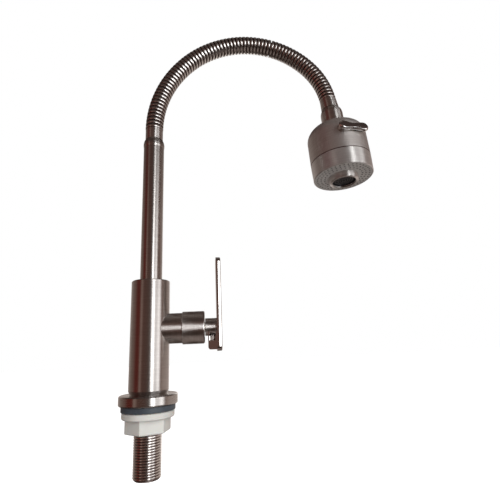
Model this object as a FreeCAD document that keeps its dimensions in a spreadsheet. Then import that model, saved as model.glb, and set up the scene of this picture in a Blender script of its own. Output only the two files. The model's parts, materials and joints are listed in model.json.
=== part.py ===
import FreeCAD, Part
import math
import os
import Sketcher

# A kitchen tap for one water supply: an upright column with a quarter-turn lever on its
# side branch, a swivelling spout tube, a bendable ribbed arm and a two-way spray head.
# Millimetres. The origin is on the column's axis, on the worktop that the gasket rests on.
# +Z is up, and +X runs along the lever branch and the arm.

SIZES = {
    # worktop fastening
    "worktop_gap": 0.3,
    "gasket_diameter": 41.0,
    "gasket_thickness": 3.8,
    "thread_diameter": 20.955,
    "thread_pitch": 1.814,
    "thread_depth": 1.16,
    "thread_crest": 0.36,
    "thread_root": 0.34,
    "thread_end_chamfer": 1.0,
    "thread_relief": 0.2,
    "shank_drop": 47.3,
    "shank_bore": 14.0,
    "shank_spigot_diameter": 18.0,
    "shank_spigot_length": 12.0,
    "loose_clearance": 0.32,
    "nut_flange_diameter": 39.6,
    "nut_flange_thickness": 5.0,
    "nut_across_corners": 35.0,
    "nut_hex_height": 10.3,
    "nut_turned": 18.0,
    "nut_edge_radius": 1.2,
    # column
    "flange_diameter": 45.0,
    "flange_thickness": 7.4,
    "flange_edge_radius": 1.2,
    "fit_clearance": 0.05,
    "column_diameter": 31.0,
    "column_length": 88.2,
    "column_foot_chamfer_rise": 3.0,
    "column_foot_chamfer_inset": 1.3,
    "column_top_chamfer": 0.6,
    "inlet_chamber_diameter": 14.0,
    "inlet_chamber_top": 46.0,
    "inlet_drill_diameter": 9.0,
    "inlet_drill_offset": 4.0,
    "outlet_drill_diameter": 7.0,
    "outlet_drill_offset": 9.0,
    "outlet_chamber_radius": 11.5,
    "outlet_chamber_floor": 75.5,
    "outlet_chamber_height": 3.0,
    # side branch and valve
    "branch_height": 60.8,
    "neck_diameter": 24.2,
    "neck_reach": 25.7,
    "valve_bore_diameter": 18.2,
    "valve_bore_floor": 4.0,
    "seat_seal_thickness": 3.6,
    "seat_seal_bore": 10.0,
    "cartridge_clearance": 0.1,
    "cartridge_flange_diameter": 21.6,
    "cartridge_flange_thickness": 3.2,
    "cartridge_gland_diameter": 14.0,
    "cartridge_gland_length": 11.0,
    "disc_chamber_diameter": 15.0,
    "disc_thickness": 3.0,
    "disc_gap": 0.03,
    "disc_port_diameter": 4.0,
    "disc_port_offset": 4.2,
    "window_diameter": 6.0,
    "spindle_diameter": 8.0,
    "spindle_head_diameter": 12.0,
    "spindle_head_length": 3.5,
    "spindle_end": 52.0,
    "seal_cord_diameter": 1.0,
    "bonnet_diameter": 26.2,
    "bonnet_length": 18.3,
    "bonnet_end_wall": 3.0,
    "bonnet_wall": 2.2,
    "bonnet_edge_radius": 1.3,
    # lever
    "lever_gap": 0.3,
    "hub_diameter": 14.2,
    "hub_length": 9.5,
    "lever_thickness": 4.0,
    "lever_width": 20.0,
    "lever_rise": 57.4,
    "lever_drop": 19.4,
    "lever_corner_radius": 4.0,
    "lever_edge_radius": 1.0,
    "tail_boss_depth": 7.2,
    "tail_boss_width": 12.0,
    "tail_boss_margin": 1.3,
    "tail_boss_radius": 2.2,
    "screw_window_height": 4.0,
    "screw_window_width": 5.4,
    "grub_screw_diameter": 4.0,
    "grub_screw_recess": 2.0,
    "hex_key_across_corners": 2.3,
    "hex_key_depth": 2.0,
    # spout
    "tube_diameter": 18.0,
    "tube_wall": 1.5,
    "tube_top": 223.0,
    "socket_depth": 21.5,
    "nipple_lap": 12.0,
    "nipple_shoulder_below_top": 7.6,
    "nipple_bore": 10.0,
    "swivel_seal_cord": 1.56,
    "swivel_seal_groove": 2.2,
    "swivel_seal_floor_below": 1.6,
    "swivel_seal_first": 3.0,
    "swivel_seal_spacing": 4.0,
    "counterbore_diameter": 21.6,
    "counterbore_depth": 9.8,
    "bush_gap": 0.5,
    "clip_diameter": 20.4,
    "clip_thickness": 1.0,
    "clip_groove_depth": 0.9,
    "clip_opening": 6.0,
    "collar_height": 8.5,
    "collar_bulge": 0.3,
    "ferrule_diameter": 15.6,
    "ferrule_length": 10.5,
    "ferrule_spigot_length": 7.0,
    # ribbed arm
    "rib_pitch": 3.64,
    "ribs_in_section": 12.0,
    "rib_diameter": 16.1,
    "groove_diameter": 14.4,
    "groove_width": 1.0,
    "rib_flank": 0.35,
    "arm_bore": 12.2,
    "turn_1": 23.4,
    "turn_2": 24.0,
    "turn_3": 27.4,
    "turn_4": 30.3,
    "turn_5": 30.6,
    "turn_6": 36.7,
    "inner_hose_diameter": 11.2,
    "inner_hose_bore": 8.0,
    # ball joint
    "ball_diameter": 13.0,
    "ball_reach": 17.1,
    "ball_bore": 4.4,
    "stem_diameter": 6.4,
    "stem_lap": 12.2,
    "upper_ferrule_diameter": 16.0,
    "upper_ferrule_flare": 18.4,
    "skirt_gap": 0.3,
    "skirt_web": 5.0,
    "cup_thickness": 0.85,
    "swivel_collar_diameter": 21.6,
    "swivel_collar_mouth": 48.0,
    "washer_low": 1.9,
    "washer_high": 4.1,
    "ball_seal_low": 4.6,
    "ball_seal_high": 2.0,
    "cup_rim_below": 1.5,
    "core_neck_diameter": 17.4,
    # spray head, heights above its face
    "head_tilt_out": 2.6,
    "head_tilt_side": 2.76,
    "ball_height": 69.0,
    "head_height": 52.5,
    "seam_height": 16.1,
    "seam_gap": 0.2,
    "head_face_diameter": 55.8,
    "head_seam_diameter": 56.6,
    "head_shoulder_diameter": 55.8,
    "shoulder_radius": 12.0,
    "shell_wall": 1.6,
    "shell_top_wall": 2.0,
    "ring_chamfer": 0.5,
    "ring_lip": 0.9,
    "ring_ledge": 3.2,
    "ring_ledge_width": 1.4,
    "ring_spigot": 3.4,
    "face_recess": 0.4,
    "face_bore": 27.2,
    "spray_hole_diameter": 1.1,
    "spray_ring_outer": 24.3,
    "spray_ring_middle": 21.0,
    "spray_ring_inner": 17.6,
    "holes_outer": 40.0,
    "holes_middle": 34.0,
    "holes_inner": 28.0,
    "aerator_diameter": 26.8,
    "aerator_wall": 1.5,
    "aerator_drop": 5.0,
    "aerator_top": 9.0,
    "aerator_lip": 0.7,
    "aerator_lip_height": 1.8,
    "aerator_edge_radius": 0.8,
    "insert_top": 3.6,
    "insert_recess": 1.4,
    "insert_rings": 4.0,
    "insert_ring_pitch": 2.1,
    "insert_ring_width": 0.9,
    "aerator_washer_thickness": 2.5,
    "aerator_washer_bore": 16.0,
    "core_skirt_wall": 2.0,
    "core_skirt_top": 12.0,
    "core_passage": 8.0,
    "core_disc_diameter": 50.2,
    "core_disc_base": 24.0,
    "core_disc_thickness": 4.0,
    "core_barrel_diameter": 24.0,
    "core_cap_thickness": 2.4,
    "spray_drill_diameter": 5.0,
    "spray_drill_height": 18.0,
    # mode switch on the head
    "mode_angle": -80.0,
    "mode_height": 35.7,
    "mode_spindle_diameter": 6.0,
    "mode_spindle_inner_end": 3.0,
    "mode_plate_length": 27.0,
    "mode_plate_width": 8.6,
    "mode_plate_face": 28.8,
    "mode_gap": 0.3,
    "mode_lever_length": 30.0,
    "mode_lever_width": 9.4,
    "mode_lever_waist": 7.2,
    "mode_lever_thickness": 3.6,
    "mode_lever_edge_radius": 1.5,
    "mode_seal_place": 12.5,
}

SECTIONS = 6

doc = FreeCAD.newDocument("kitchen_tap")
sheet = doc.addObject("Spreadsheet::Sheet", "Sizes")
for row, (alias, number) in enumerate(SIZES.items(), start=1):
    sheet.set("A%d" % row, alias)
    sheet.set("B%d" % row, str(number))
    sheet.setAlias("B%d" % row, alias)
doc.recompute()

parts = []


class Size:
    """A length or an angle: its expression on the sheet, and its number now."""

    def __init__(self, text, number):
        self.text = text
        self.number = number

    def join(self, other, sign, number):
        return Size("(%s %s %s)" % (self.text, sign, as_size(other).text), number)

    def __add__(self, other):
        return self.join(other, "+", self.number + as_size(other).number)

    def __sub__(self, other):
        return self.join(other, "-", self.number - as_size(other).number)

    def __mul__(self, other):
        return self.join(other, "*", self.number * as_size(other).number)

    def __truediv__(self, other):
        return self.join(other, "/", self.number / as_size(other).number)

    def __neg__(self):
        return Size("(0 - %s)" % self.text, -self.number)


def as_size(value):
    """A plain number becomes a size of its own."""
    return value if isinstance(value, Size) else Size(repr(float(value)), float(value))


def size(alias):
    """A driving dimension, by its name on the sheet."""
    return Size("Sizes." + alias, float(sheet.get(alias)))


def half(alias):
    """Half a driving dimension: the radius of a stated diameter."""
    return size(alias) / 2


def bind(item, **values):
    """Bind properties of an object to expressions on the sheet."""
    for name, value in values.items():
        item.setExpression(name, as_size(value).text)
    return item


def keep(label, item):
    """Note a finished piece, under the name it is written with."""
    item.Label = label
    parts.append((label, item))
    return item


def place_at(item, x=0, y=0, z=0):
    """Bind the position of an object."""
    for name, value in (("x", x), ("y", y), ("z", z)):
        item.setExpression("Placement.Base." + name, as_size(value).text)
    return item


def plane_of(body, role):
    """One of a body's own origin planes or axes."""
    for feature in body.Origin.OriginFeatures:
        if feature.Role == role:
            return feature
    raise ValueError(role)


def new_body(label):
    return doc.addObject("PartDesign::Body", label + "_body")


def new_sketch(body, name, plane="XZ_Plane"):
    sketch = body.newObject("Sketcher::SketchObject", name)
    sketch.AttachmentSupport = [(plane_of(body, plane), "")]
    sketch.MapMode = "FlatFace"
    return sketch


def pin_point(sketch, geometry, corner, across, along):
    """Hold one point of a sketch at two bound distances from the sketch's origin."""
    for kind, value, axis in (("DistanceX", across, -2), ("DistanceY", along, -1)):
        value = as_size(value)
        if value.number == 0:
            sketch.addConstraint(Sketcher.Constraint("PointOnObject", geometry, corner, axis))
            continue
        made = sketch.addConstraint(
            Sketcher.Constraint(kind, -1, 1, geometry, corner, value.number)
        )
        sketch.setExpression("Constraints[%d]" % made, value.text)


def draw_outline(sketch, points):
    """A closed outline of straight lines, with every corner bound to the sheet."""
    corners = [
        FreeCAD.Vector(as_size(across).number, as_size(along).number, 0)
        for across, along in points
    ]
    first = sketch.GeometryCount
    for index, corner in enumerate(corners):
        following = corners[(index + 1) % len(corners)]
        sketch.addGeometry(Part.LineSegment(corner, following), False)
    for index, (across, along) in enumerate(points):
        following = (index + 1) % len(points)
        sketch.addConstraint(
            Sketcher.Constraint("Coincident", first + index, 2, first + following, 1)
        )
        pin_point(sketch, first + index, 1, across, along)


def draw_circle(sketch, radius, across=0, along=0):
    """A circle with its centre and its radius bound to the sheet."""
    centre = FreeCAD.Vector(as_size(across).number, as_size(along).number, 0)
    upward = FreeCAD.Vector(0, 0, 1)
    made = sketch.addGeometry(Part.Circle(centre, upward, as_size(radius).number), False)
    pin_point(sketch, made, 3, across, along)
    held = sketch.addConstraint(Sketcher.Constraint("Radius", made, as_size(radius).number))
    sketch.setExpression("Constraints[%d]" % held, as_size(radius).text)


def turn_profile(label, outline):
    """A body turned about its own Z from a half outline of (radius, height) corners."""
    body = new_body(label)
    sketch = new_sketch(body, label + "_profile")
    draw_outline(sketch, outline)
    turned = body.newObject("PartDesign::Revolution", label + "_turned")
    turned.Profile = sketch
    turned.ReferenceAxis = (sketch, ["V_Axis"])
    turned.Angle = 360
    body.Tip = turned
    doc.recompute()
    return body


def drill(body, name, radius, across, along, plane, depth=None):
    """Cut a round hole both ways from a plane, or one way to a depth, and return it."""
    sketch = new_sketch(body, name + "_sketch", plane)
    draw_circle(sketch, radius, across, along)
    before = body.Shape.Volume
    hole = body.newObject("PartDesign::Pocket", name)
    hole.Profile = sketch
    if depth is None:
        hole.Type = "ThroughAll"
        hole.Midplane = True
    else:
        hole.Reversed = True
        bind(hole, Length=depth)
    body.Tip = hole
    doc.recompute()
    if body.Shape.Volume > before - 1e-6:
        raise RuntimeError("%s cut nothing" % name)
    return hole


def repeat_round(body, name, feature, count):
    """Repeat a feature around the body's own Z."""
    pattern = body.newObject("PartDesign::PolarPattern", name)
    pattern.Originals = [feature]
    pattern.Axis = (plane_of(body, "Z_Axis"), [""])
    pattern.Angle = 360
    bind(pattern, Occurrences=count)
    body.Tip = pattern
    doc.recompute()
    return pattern


def ring_edges(item, radius, height):
    """The names of the round edges of this radius, at this height."""
    names = []
    for index, edge in enumerate(item.Shape.Edges, start=1):
        curve = edge.Curve
        if not isinstance(curve, Part.Circle):
            continue
        same_radius = abs(curve.Radius - as_size(radius).number) < 1e-4
        if same_radius and abs(curve.Center.z - as_size(height).number) < 1e-4:
            names.append("Edge%d" % index)
    return names


def soften_ring(body, kind, amount, radius, height):
    """Round or chamfer a turned body's edge."""
    base = body.Tip
    names = ring_edges(base, radius, height)
    feature = body.newObject("PartDesign::" + kind, base.Name + "_" + kind.lower())
    feature.Base = (base, names)
    if kind == "Fillet":
        bind(feature, Radius=amount)
    else:
        bind(feature, Size=amount)
    body.Tip = feature
    doc.recompute()
    return feature


def cylinder(name, radius, height, x=0, y=0, z=0, axis="z"):
    """A bound cylinder that starts at a point and runs along an axis."""
    item = doc.addObject("Part::Cylinder", name)
    bind(item, Radius=radius, Height=height)
    if axis == "x":
        item.Placement.Rotation = FreeCAD.Rotation(FreeCAD.Vector(0, 1, 0), 90)
    if axis == "y":
        item.Placement.Rotation = FreeCAD.Rotation(FreeCAD.Vector(1, 0, 0), -90)
    return place_at(item, x, y, z)


def torus(name, ring_radius, cord_radius, z=0):
    """A bound ring of round cord about Z."""
    item = doc.addObject("Part::Torus", name)
    bind(item, Radius1=ring_radius, Radius2=cord_radius)
    return place_at(item, z=z)


def fuse(name, *items):
    item = doc.addObject("Part::MultiFuse", name)
    item.Shapes = list(items)
    item.Refine = True
    return item


def cut(name, base, tool):
    item = doc.addObject("Part::Cut", name)
    item.Base = base
    item.Tool = tool
    return item


# Heights and places that several pieces share

flange_base = size("gasket_thickness") + size("worktop_gap")
column_base = flange_base + size("flange_thickness")
column_top = column_base + size("column_length")
shank_top = column_base + size("shank_spigot_length")
thread_radius = half("thread_diameter")
nut_bottom = -(size("worktop_gap") + size("nut_flange_thickness") + size("nut_hex_height"))
socket_floor = column_top - size("socket_depth")
nipple_shoulder = column_top - size("nipple_shoulder_below_top")
counterbore_floor = column_top - size("counterbore_depth")
tube_radius = half("tube_diameter")
collar_base = size("tube_top")
ferrule_base = collar_base + size("collar_height")
arm_base = ferrule_base + size("ferrule_length")
cartridge_base = size("valve_bore_floor") + size("seat_seal_thickness")
bonnet_end = size("neck_reach") + size("bonnet_length")
hub_base = bonnet_end + size("lever_gap")
plate_base = hub_base + size("hub_length")
plate_end = plate_base + size("lever_thickness")


def along_branch(body):
    """Lay a piece that was turned about Z along the side branch instead."""
    body.Placement.Rotation = FreeCAD.Rotation(FreeCAD.Vector(0, 1, 0), 90)
    return place_at(body, z=size("branch_height"))


def threaded_shank():
    """The hollow inlet shank: one pipe thread from the worktop down, a spigot above."""
    bottom = -size("shank_drop")
    bore = half("shank_bore")
    spigot = half("shank_spigot_diameter")
    chamfer = size("thread_end_chamfer")
    relieved = thread_radius - size("thread_relief")
    relief_base = nut_bottom - size("worktop_gap")
    body = turn_profile("threaded_shank", [
        (bore, bottom),
        (thread_radius - chamfer, bottom),
        (thread_radius, bottom + chamfer),
        (thread_radius, relief_base),
        (relieved, relief_base),
        (relieved, column_base),
        (spigot, column_base),
        (spigot, shank_top),
        (bore, shank_top),
    ])
    pitch = size("thread_pitch")
    mouth = (pitch - size("thread_crest")) / 2
    root = size("thread_root") / 2
    first = bottom + chamfer + pitch
    floor = thread_radius - size("thread_depth")
    beyond = thread_radius + size("thread_root")
    sketch = new_sketch(body, "thread_groove_profile")
    draw_outline(sketch, [
        (beyond, first - mouth),
        (thread_radius, first - mouth),
        (floor, first - root),
        (floor, first + root),
        (thread_radius, first + mouth),
        (beyond, first + mouth),
    ])
    groove = body.newObject("PartDesign::Groove", "thread_groove")
    groove.Profile = sketch
    groove.ReferenceAxis = (sketch, ["V_Axis"])
    groove.Angle = 360
    body.Tip = groove
    doc.recompute()
    turns = (flange_base + size("shank_drop") - chamfer) / pitch
    count = Size("(floor(%s) - 1)" % turns.text, math.floor(turns.number) - 1)
    pattern = body.newObject("PartDesign::LinearPattern", "thread_grooves")
    pattern.Originals = [groove]
    pattern.Direction = (plane_of(body, "Z_Axis"), [""])
    bind(pattern, Occurrences=count, Length=(count - 1) * pitch)
    body.Tip = pattern
    doc.recompute()
    keep("threaded_shank", body)


def base_gasket():
    """The rubber gasket between the flange and the worktop."""
    bore = thread_radius + size("loose_clearance")
    outer = half("gasket_diameter")
    thick = size("gasket_thickness")
    keep("base_gasket", turn_profile("base_gasket", [
        (bore, 0), (outer, 0), (outer, thick), (bore, thick),
    ]))


def back_nut():
    """The plastic nut with a round flange that clamps the tap from under the worktop."""
    top = -size("worktop_gap")
    flange = cylinder("nut_flange", half("nut_flange_diameter"), size("nut_flange_thickness"))
    place_at(flange, z=top - size("nut_flange_thickness"))
    hexagon = doc.addObject("Part::Prism", "nut_hexagon")
    hexagon.Polygon = 6
    bind(hexagon, Circumradius=half("nut_across_corners"), Height=size("nut_hex_height"))
    hexagon.setExpression("Placement.Rotation.Angle", size("nut_turned").text)
    place_at(hexagon, z=nut_bottom)
    blank = fuse("nut_blank", flange, hexagon)
    doc.recompute()
    low = hexagon.Placement.Base.z
    lower_edges = []
    for index, edge in enumerate(blank.Shape.Edges, start=1):
        box = edge.BoundBox
        upright = box.ZLength > size("nut_hex_height").number * 0.9
        at_foot = box.ZMax < low + 1e-4
        at_rim = isinstance(edge.Curve, Part.Circle)
        if upright or at_foot or at_rim:
            lower_edges.append(index)
    rounded = doc.addObject("Part::Fillet", "nut_rounded")
    rounded.Base = blank
    radius = size("nut_edge_radius").number
    rounded.Edges = [(index, radius, radius) for index in lower_edges]
    reach = size("nut_flange_thickness") + size("nut_hex_height")
    bore = cylinder("nut_bore", thread_radius + size("loose_clearance"), reach + 2)
    place_at(bore, z=nut_bottom - 1)
    keep("back_nut", cut("back_nut", rounded, bore))


def base_flange():
    """The polished ring that the column stands on."""
    bore = thread_radius + size("fit_clearance")
    outer = half("flange_diameter")
    body = turn_profile("base_flange", [
        (bore, flange_base), (outer, flange_base), (outer, column_base), (bore, column_base),
    ])
    for height in (flange_base, column_base):
        soften_ring(body, "Fillet", size("flange_edge_radius"), outer, height)
    keep("base_flange", body)


def body_column():
    """The upright column with its welded side neck, valve bore and water drillings."""
    outer = half("column_diameter")
    foot_rise = size("column_foot_chamfer_rise")
    foot_inset = size("column_foot_chamfer_inset")
    top_chamfer = size("column_top_chamfer")
    fit = size("fit_clearance")
    blank = turn_profile("column_blank", [
        (0, column_base),
        (outer - foot_inset, column_base),
        (outer, column_base + foot_rise),
        (outer, column_top - top_chamfer),
        (outer - top_chamfer, column_top),
        (0, column_top),
    ])
    branch = size("branch_height")
    neck = cylinder("neck", half("neck_diameter"), size("neck_reach"), z=branch, axis="x")
    solid = fuse("column_solid", blank, neck)
    chamber_base = column_base - 1
    spigot_bore = half("shank_spigot_diameter") + fit
    spigot_depth = size("shank_spigot_length") + 1
    valve_floor = size("valve_bore_floor")
    drill_x = -size("inlet_drill_offset")
    chamber_floor = size("outlet_chamber_floor")
    hollow = fuse(
        "column_hollow",
        cylinder("spigot_bore", spigot_bore, spigot_depth + fit, z=chamber_base),
        cylinder("inlet_chamber", half("inlet_chamber_diameter"),
                 size("inlet_chamber_top") - column_base, z=column_base),
        cylinder("inlet_drill", half("inlet_drill_diameter"),
                 branch - size("inlet_chamber_top") + 1,
                 x=drill_x, z=size("inlet_chamber_top") - 1),
        cylinder("inlet_cross_drill", half("inlet_drill_diameter"),
                 valve_floor - drill_x + 1, x=drill_x, z=branch, axis="x"),
        cylinder("valve_bore", half("valve_bore_diameter"),
                 size("neck_reach") - valve_floor + 1, x=valve_floor, z=branch, axis="x"),
        cylinder("outlet_drill", half("outlet_drill_diameter"),
                 chamber_floor - branch + 1, x=size("outlet_drill_offset"), z=branch),
        cylinder("outlet_chamber", size("outlet_chamber_radius"),
                 size("outlet_chamber_height"), z=chamber_floor),
        cylinder("spout_socket", tube_radius + fit,
                 column_top - chamber_floor + 1, z=chamber_floor),
        cylinder("top_counterbore", half("counterbore_diameter"),
                 size("counterbore_depth") + 1, z=counterbore_floor),
    )
    keep("body_column", cut("body_column", solid, hollow))


def seat_seal():
    """The rubber seat that the valve cartridge presses on."""
    outer = half("valve_bore_diameter") - size("cartridge_clearance")
    bore = half("seat_seal_bore")
    floor = size("valve_bore_floor")
    keep("seat_seal", along_branch(turn_profile("seat_seal", [
        (bore, floor), (outer, floor), (outer, cartridge_base), (bore, cartridge_base),
    ])))


def cartridge_body():
    """The brass headwork: disc chamber, side windows, flange and spindle gland."""
    outer = half("valve_bore_diameter") - size("cartridge_clearance")
    chamber = half("disc_chamber_diameter")
    neck = size("neck_reach")
    flange_end = neck + size("cartridge_flange_thickness")
    gland_end = flange_end + size("cartridge_gland_length")
    chamber_end = cartridge_base + size("disc_thickness") * 2 + size("spindle_head_length")
    chamber_end = chamber_end + size("disc_gap") * 4
    spindle_bore = half("spindle_diameter") + size("fit_clearance")
    body = turn_profile("cartridge_body", [
        (chamber, cartridge_base),
        (outer, cartridge_base),
        (outer, neck),
        (half("cartridge_flange_diameter"), neck),
        (half("cartridge_flange_diameter"), flange_end),
        (half("cartridge_gland_diameter"), flange_end),
        (half("cartridge_gland_diameter"), gland_end),
        (spindle_bore, gland_end),
        (spindle_bore, chamber_end),
        (chamber, chamber_end),
    ])
    place = cartridge_base + size("disc_thickness") * 2
    drill(body, "cartridge_windows", half("window_diameter"), 0, place, "YZ_Plane")
    keep("cartridge_body", along_branch(body))


def ceramic_disc(label, start):
    """One ceramic disc, with its two water ports."""
    body = turn_profile(label, [
        (0, start),
        (half("disc_chamber_diameter") - size("fit_clearance"), start),
        (half("disc_chamber_diameter") - size("fit_clearance"), start + size("disc_thickness")),
        (0, start + size("disc_thickness")),
    ])
    port = drill(body, label + "_port", half("disc_port_diameter"),
                 0, size("disc_port_offset"), "XY_Plane")
    repeat_round(body, label + "_ports", port, 2)
    keep(label, along_branch(body))


def valve_spindle():
    """The spindle that turns the upper disc, with a groove for its seal ring."""
    radius = half("spindle_diameter")
    head = half("spindle_head_diameter")
    start = cartridge_base + size("disc_thickness") * 2 + size("disc_gap") * 2
    head_end = start + size("spindle_head_length")
    groove = spindle_seal_place()
    cord = size("seal_cord_diameter")
    groove_floor = radius - cord
    body = turn_profile("valve_spindle", [
        (0, start),
        (head, start),
        (head, head_end),
        (radius, head_end),
        (radius, groove - cord * 0.7),
        (groove_floor, groove - cord * 0.7),
        (groove_floor, groove + cord * 0.7),
        (radius, groove + cord * 0.7),
        (radius, size("spindle_end")),
        (0, size("spindle_end")),
    ])
    keep("valve_spindle", along_branch(body))


def spindle_seal_place():
    """How far along the branch the spindle's seal ring sits: half way down the gland."""
    flange_end = size("neck_reach") + size("cartridge_flange_thickness")
    return flange_end + size("cartridge_gland_length") / 2


def spindle_seal():
    """The seal ring in the spindle's groove."""
    cord = half("seal_cord_diameter")
    ring = torus("spindle_seal", half("spindle_diameter") - cord, cord - 0.01)
    ring.Placement.Rotation = FreeCAD.Rotation(FreeCAD.Vector(0, 1, 0), 90)
    place_at(ring, x=spindle_seal_place(), z=size("branch_height"))
    keep("spindle_seal", ring)


def bonnet():
    """The round cover that holds the cartridge in the neck."""
    outer = half("bonnet_diameter")
    inner = outer - size("bonnet_wall")
    start = size("neck_reach") + size("seam_gap")
    wall_start = bonnet_end - size("bonnet_end_wall")
    mouth = half("spindle_diameter") + size("loose_clearance")
    body = turn_profile("bonnet", [
        (inner, start), (outer, start), (outer, bonnet_end), (mouth, bonnet_end),
        (mouth, wall_start), (inner, wall_start),
    ])
    soften_ring(body, "Fillet", size("bonnet_edge_radius"), outer, bonnet_end)
    soften_ring(body, "Chamfer", size("column_top_chamfer") / 2, outer, start)
    keep("bonnet", along_branch(body))


def lever_hub():
    """The round hub that clamps the lever on the spindle."""
    bore = half("spindle_diameter") + size("fit_clearance")
    outer = half("hub_diameter")
    body = turn_profile("lever_hub", [
        (bore, hub_base), (outer, hub_base), (outer, plate_base), (bore, plate_base),
    ])
    soften_ring(body, "Chamfer", size("column_top_chamfer") / 2, outer, hub_base)
    hole = half("grub_screw_diameter") + size("fit_clearance")
    drill(body, "grub_screw_hole", hole, 0, screw_place(), "YZ_Plane", outer * 2)
    keep("lever_hub", along_branch(body))


def screw_place():
    """How far along the branch the grub screw sits: in the middle of the tail boss."""
    return plate_base - size("tail_boss_depth") / 2


def tail_boss_foot():
    """The height of the tail boss's underside."""
    return size("branch_height") - size("lever_drop") + size("tail_boss_margin")


def lever_plate():
    """The flat upright lever, with the tail boss that reaches up to the hub behind it."""
    branch = size("branch_height")
    wide = half("lever_width")
    body = new_body("lever_plate")
    low = branch - size("lever_drop")
    high = branch + size("lever_rise")
    depth = size("tail_boss_depth")
    plate = pad_upright(body, "lever_outline", plate_base, size("lever_thickness"), [
        (-wide, low), (wide, low), (wide, high), (-wide, high),
    ])
    boss_start = plate_base - depth
    boss_half = half("tail_boss_width")
    foot = tail_boss_foot()
    boss = pad_upright(body, "tail_boss", boss_start, depth + size("lever_thickness") / 2, [
        (-boss_half, foot), (boss_half, foot), (boss_half, branch), (-boss_half, branch),
    ])
    hub_seat = new_sketch(body, "hub_seat_sketch", "YZ_Plane")
    draw_circle(hub_seat, half("hub_diameter") + size("fit_clearance"), 0, branch)
    hub_seat.setExpression("AttachmentOffset.Base.z", (boss_start - 1).text)
    seat = body.newObject("PartDesign::Pocket", "hub_seat")
    seat.Profile = hub_seat
    seat.Reversed = True
    bind(seat, Length=depth + 1)
    body.Tip = seat
    corner = half("lever_thickness")
    corners = edges_where(seat, lambda box: (
        abs(box.XLength - corner.number * 2) < 1e-4 and abs(abs(box.YMin) - wide.number) < 1e-4
    ))
    soften(body, "lever_corners", corners, size("lever_corner_radius"))
    heel = edges_where(body.Tip, lambda box: (
        box.XMax < boss_start.number + 1e-4 and box.ZMax < foot.number + 1e-4
    ))
    soften(body, "tail_boss_heel", heel, size("tail_boss_radius"))
    rim = edges_where(body.Tip, lambda box: box.XMin > plate_end.number - 1e-4)
    soften(body, "lever_rim", rim, size("lever_edge_radius"))
    screw_radius = half("grub_screw_diameter") + size("fit_clearance")
    tool = fuse(
        "lever_removed",
        cylinder("tail_boss_bore", screw_radius, branch - foot + 1, x=screw_place(), z=foot - 1),
        screw_window(),
    )
    keep("lever_plate", cut("lever_plate", body, tool))


def screw_window():
    """The notch in the tail boss's side that shows the screw, just under the hub."""
    wide = size("screw_window_width")
    notch = doc.addObject("Part::Box", "screw_window")
    top = size("branch_height") - half("hub_diameter")
    bind(notch, Length=wide, Width=half("tail_boss_width") + 1,
         Height=size("screw_window_height") * 2)
    return place_at(notch, x=screw_place() - wide / 2, y=-half("tail_boss_width") - 1,
                    z=top - size("screw_window_height"))


def pad_upright(body, name, start, depth, outline):
    """A block with an outline in the YZ plane, grown outward along the branch."""
    sketch = new_sketch(body, name + "_sketch", "YZ_Plane")
    draw_outline(sketch, outline)
    sketch.setExpression("AttachmentOffset.Base.z", start.text)
    block = body.newObject("PartDesign::Pad", name)
    block.Profile = sketch
    bind(block, Length=depth)
    body.Tip = block
    doc.recompute()
    return block


def edges_where(item, wanted):
    """The names of the edges whose bounding boxes pass a test."""
    doc.recompute()
    return [
        "Edge%d" % index
        for index, edge in enumerate(item.Shape.Edges, start=1)
        if wanted(edge.BoundBox)
    ]


def soften(body, name, edges, radius):
    """Round the named edges of a body's last feature."""
    base = body.Tip
    rounded = body.newObject("PartDesign::Fillet", name)
    rounded.Base = (base, edges)
    bind(rounded, Radius=radius)
    body.Tip = rounded
    doc.recompute()


def grub_screw():
    """The hexagon-socket screw that locks the hub, up through the tail boss."""
    foot = tail_boss_foot() + size("grub_screw_recess")
    tip = size("branch_height") - half("spindle_diameter") - size("fit_clearance")
    length = tip - foot
    radius = half("grub_screw_diameter")
    body = turn_profile("grub_screw", [(0, 0), (radius, 0), (radius, length), (0, length)])
    before = body.Shape.Volume
    reach = half("hex_key_across_corners")
    corners = []
    for turn in range(6):
        angle = math.radians(60 * turn)
        corners.append((reach * round(math.cos(angle), 9), reach * round(math.sin(angle), 9)))
    sketch = new_sketch(body, "grub_screw_key_outline", "XY_Plane")
    draw_outline(sketch, corners)
    socket = body.newObject("PartDesign::Pocket", "grub_screw_key_socket")
    socket.Profile = sketch
    socket.Reversed = True
    bind(socket, Length=size("hex_key_depth"))
    body.Tip = socket
    doc.recompute()
    if body.Shape.Volume > before - 1e-6:
        raise RuntimeError("the screw's socket cut nothing")
    keep("grub_screw", place_at(body, x=screw_place(), z=foot))


def spout_nipple():
    """The turned end of the spout: seal grooves, a clip groove and a lap into the tube."""
    outer = tube_radius
    lap = tube_radius - size("tube_wall") - size("fit_clearance") / 2
    floor = outer - size("swivel_seal_floor_below")
    start = socket_floor + size("worktop_gap")
    outline = [(half("nipple_bore"), start), (outer, start)]
    for middle in swivel_seal_places():
        low = middle - half("swivel_seal_groove")
        high = middle + half("swivel_seal_groove")
        outline += [(outer, low), (floor, low), (floor, high), (outer, high)]
    clip_low = counterbore_floor + size("worktop_gap")
    clip_high = clip_low + size("clip_thickness") + size("fit_clearance")
    clip_floor = outer - size("clip_groove_depth")
    outline += [
        (outer, clip_low), (clip_floor, clip_low), (clip_floor, clip_high), (outer, clip_high),
        (outer, nipple_shoulder),
        (lap, nipple_shoulder),
        (lap, nipple_shoulder + size("nipple_lap")),
        (half("nipple_bore"), nipple_shoulder + size("nipple_lap")),
    ]
    keep("spout_nipple", turn_profile("spout_nipple", outline))


def swivel_seal_places():
    """The heights of the two seal rings on the spout's nipple."""
    first = socket_floor + size("worktop_gap") + size("swivel_seal_first")
    return [first, first + size("swivel_seal_spacing")]


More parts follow.
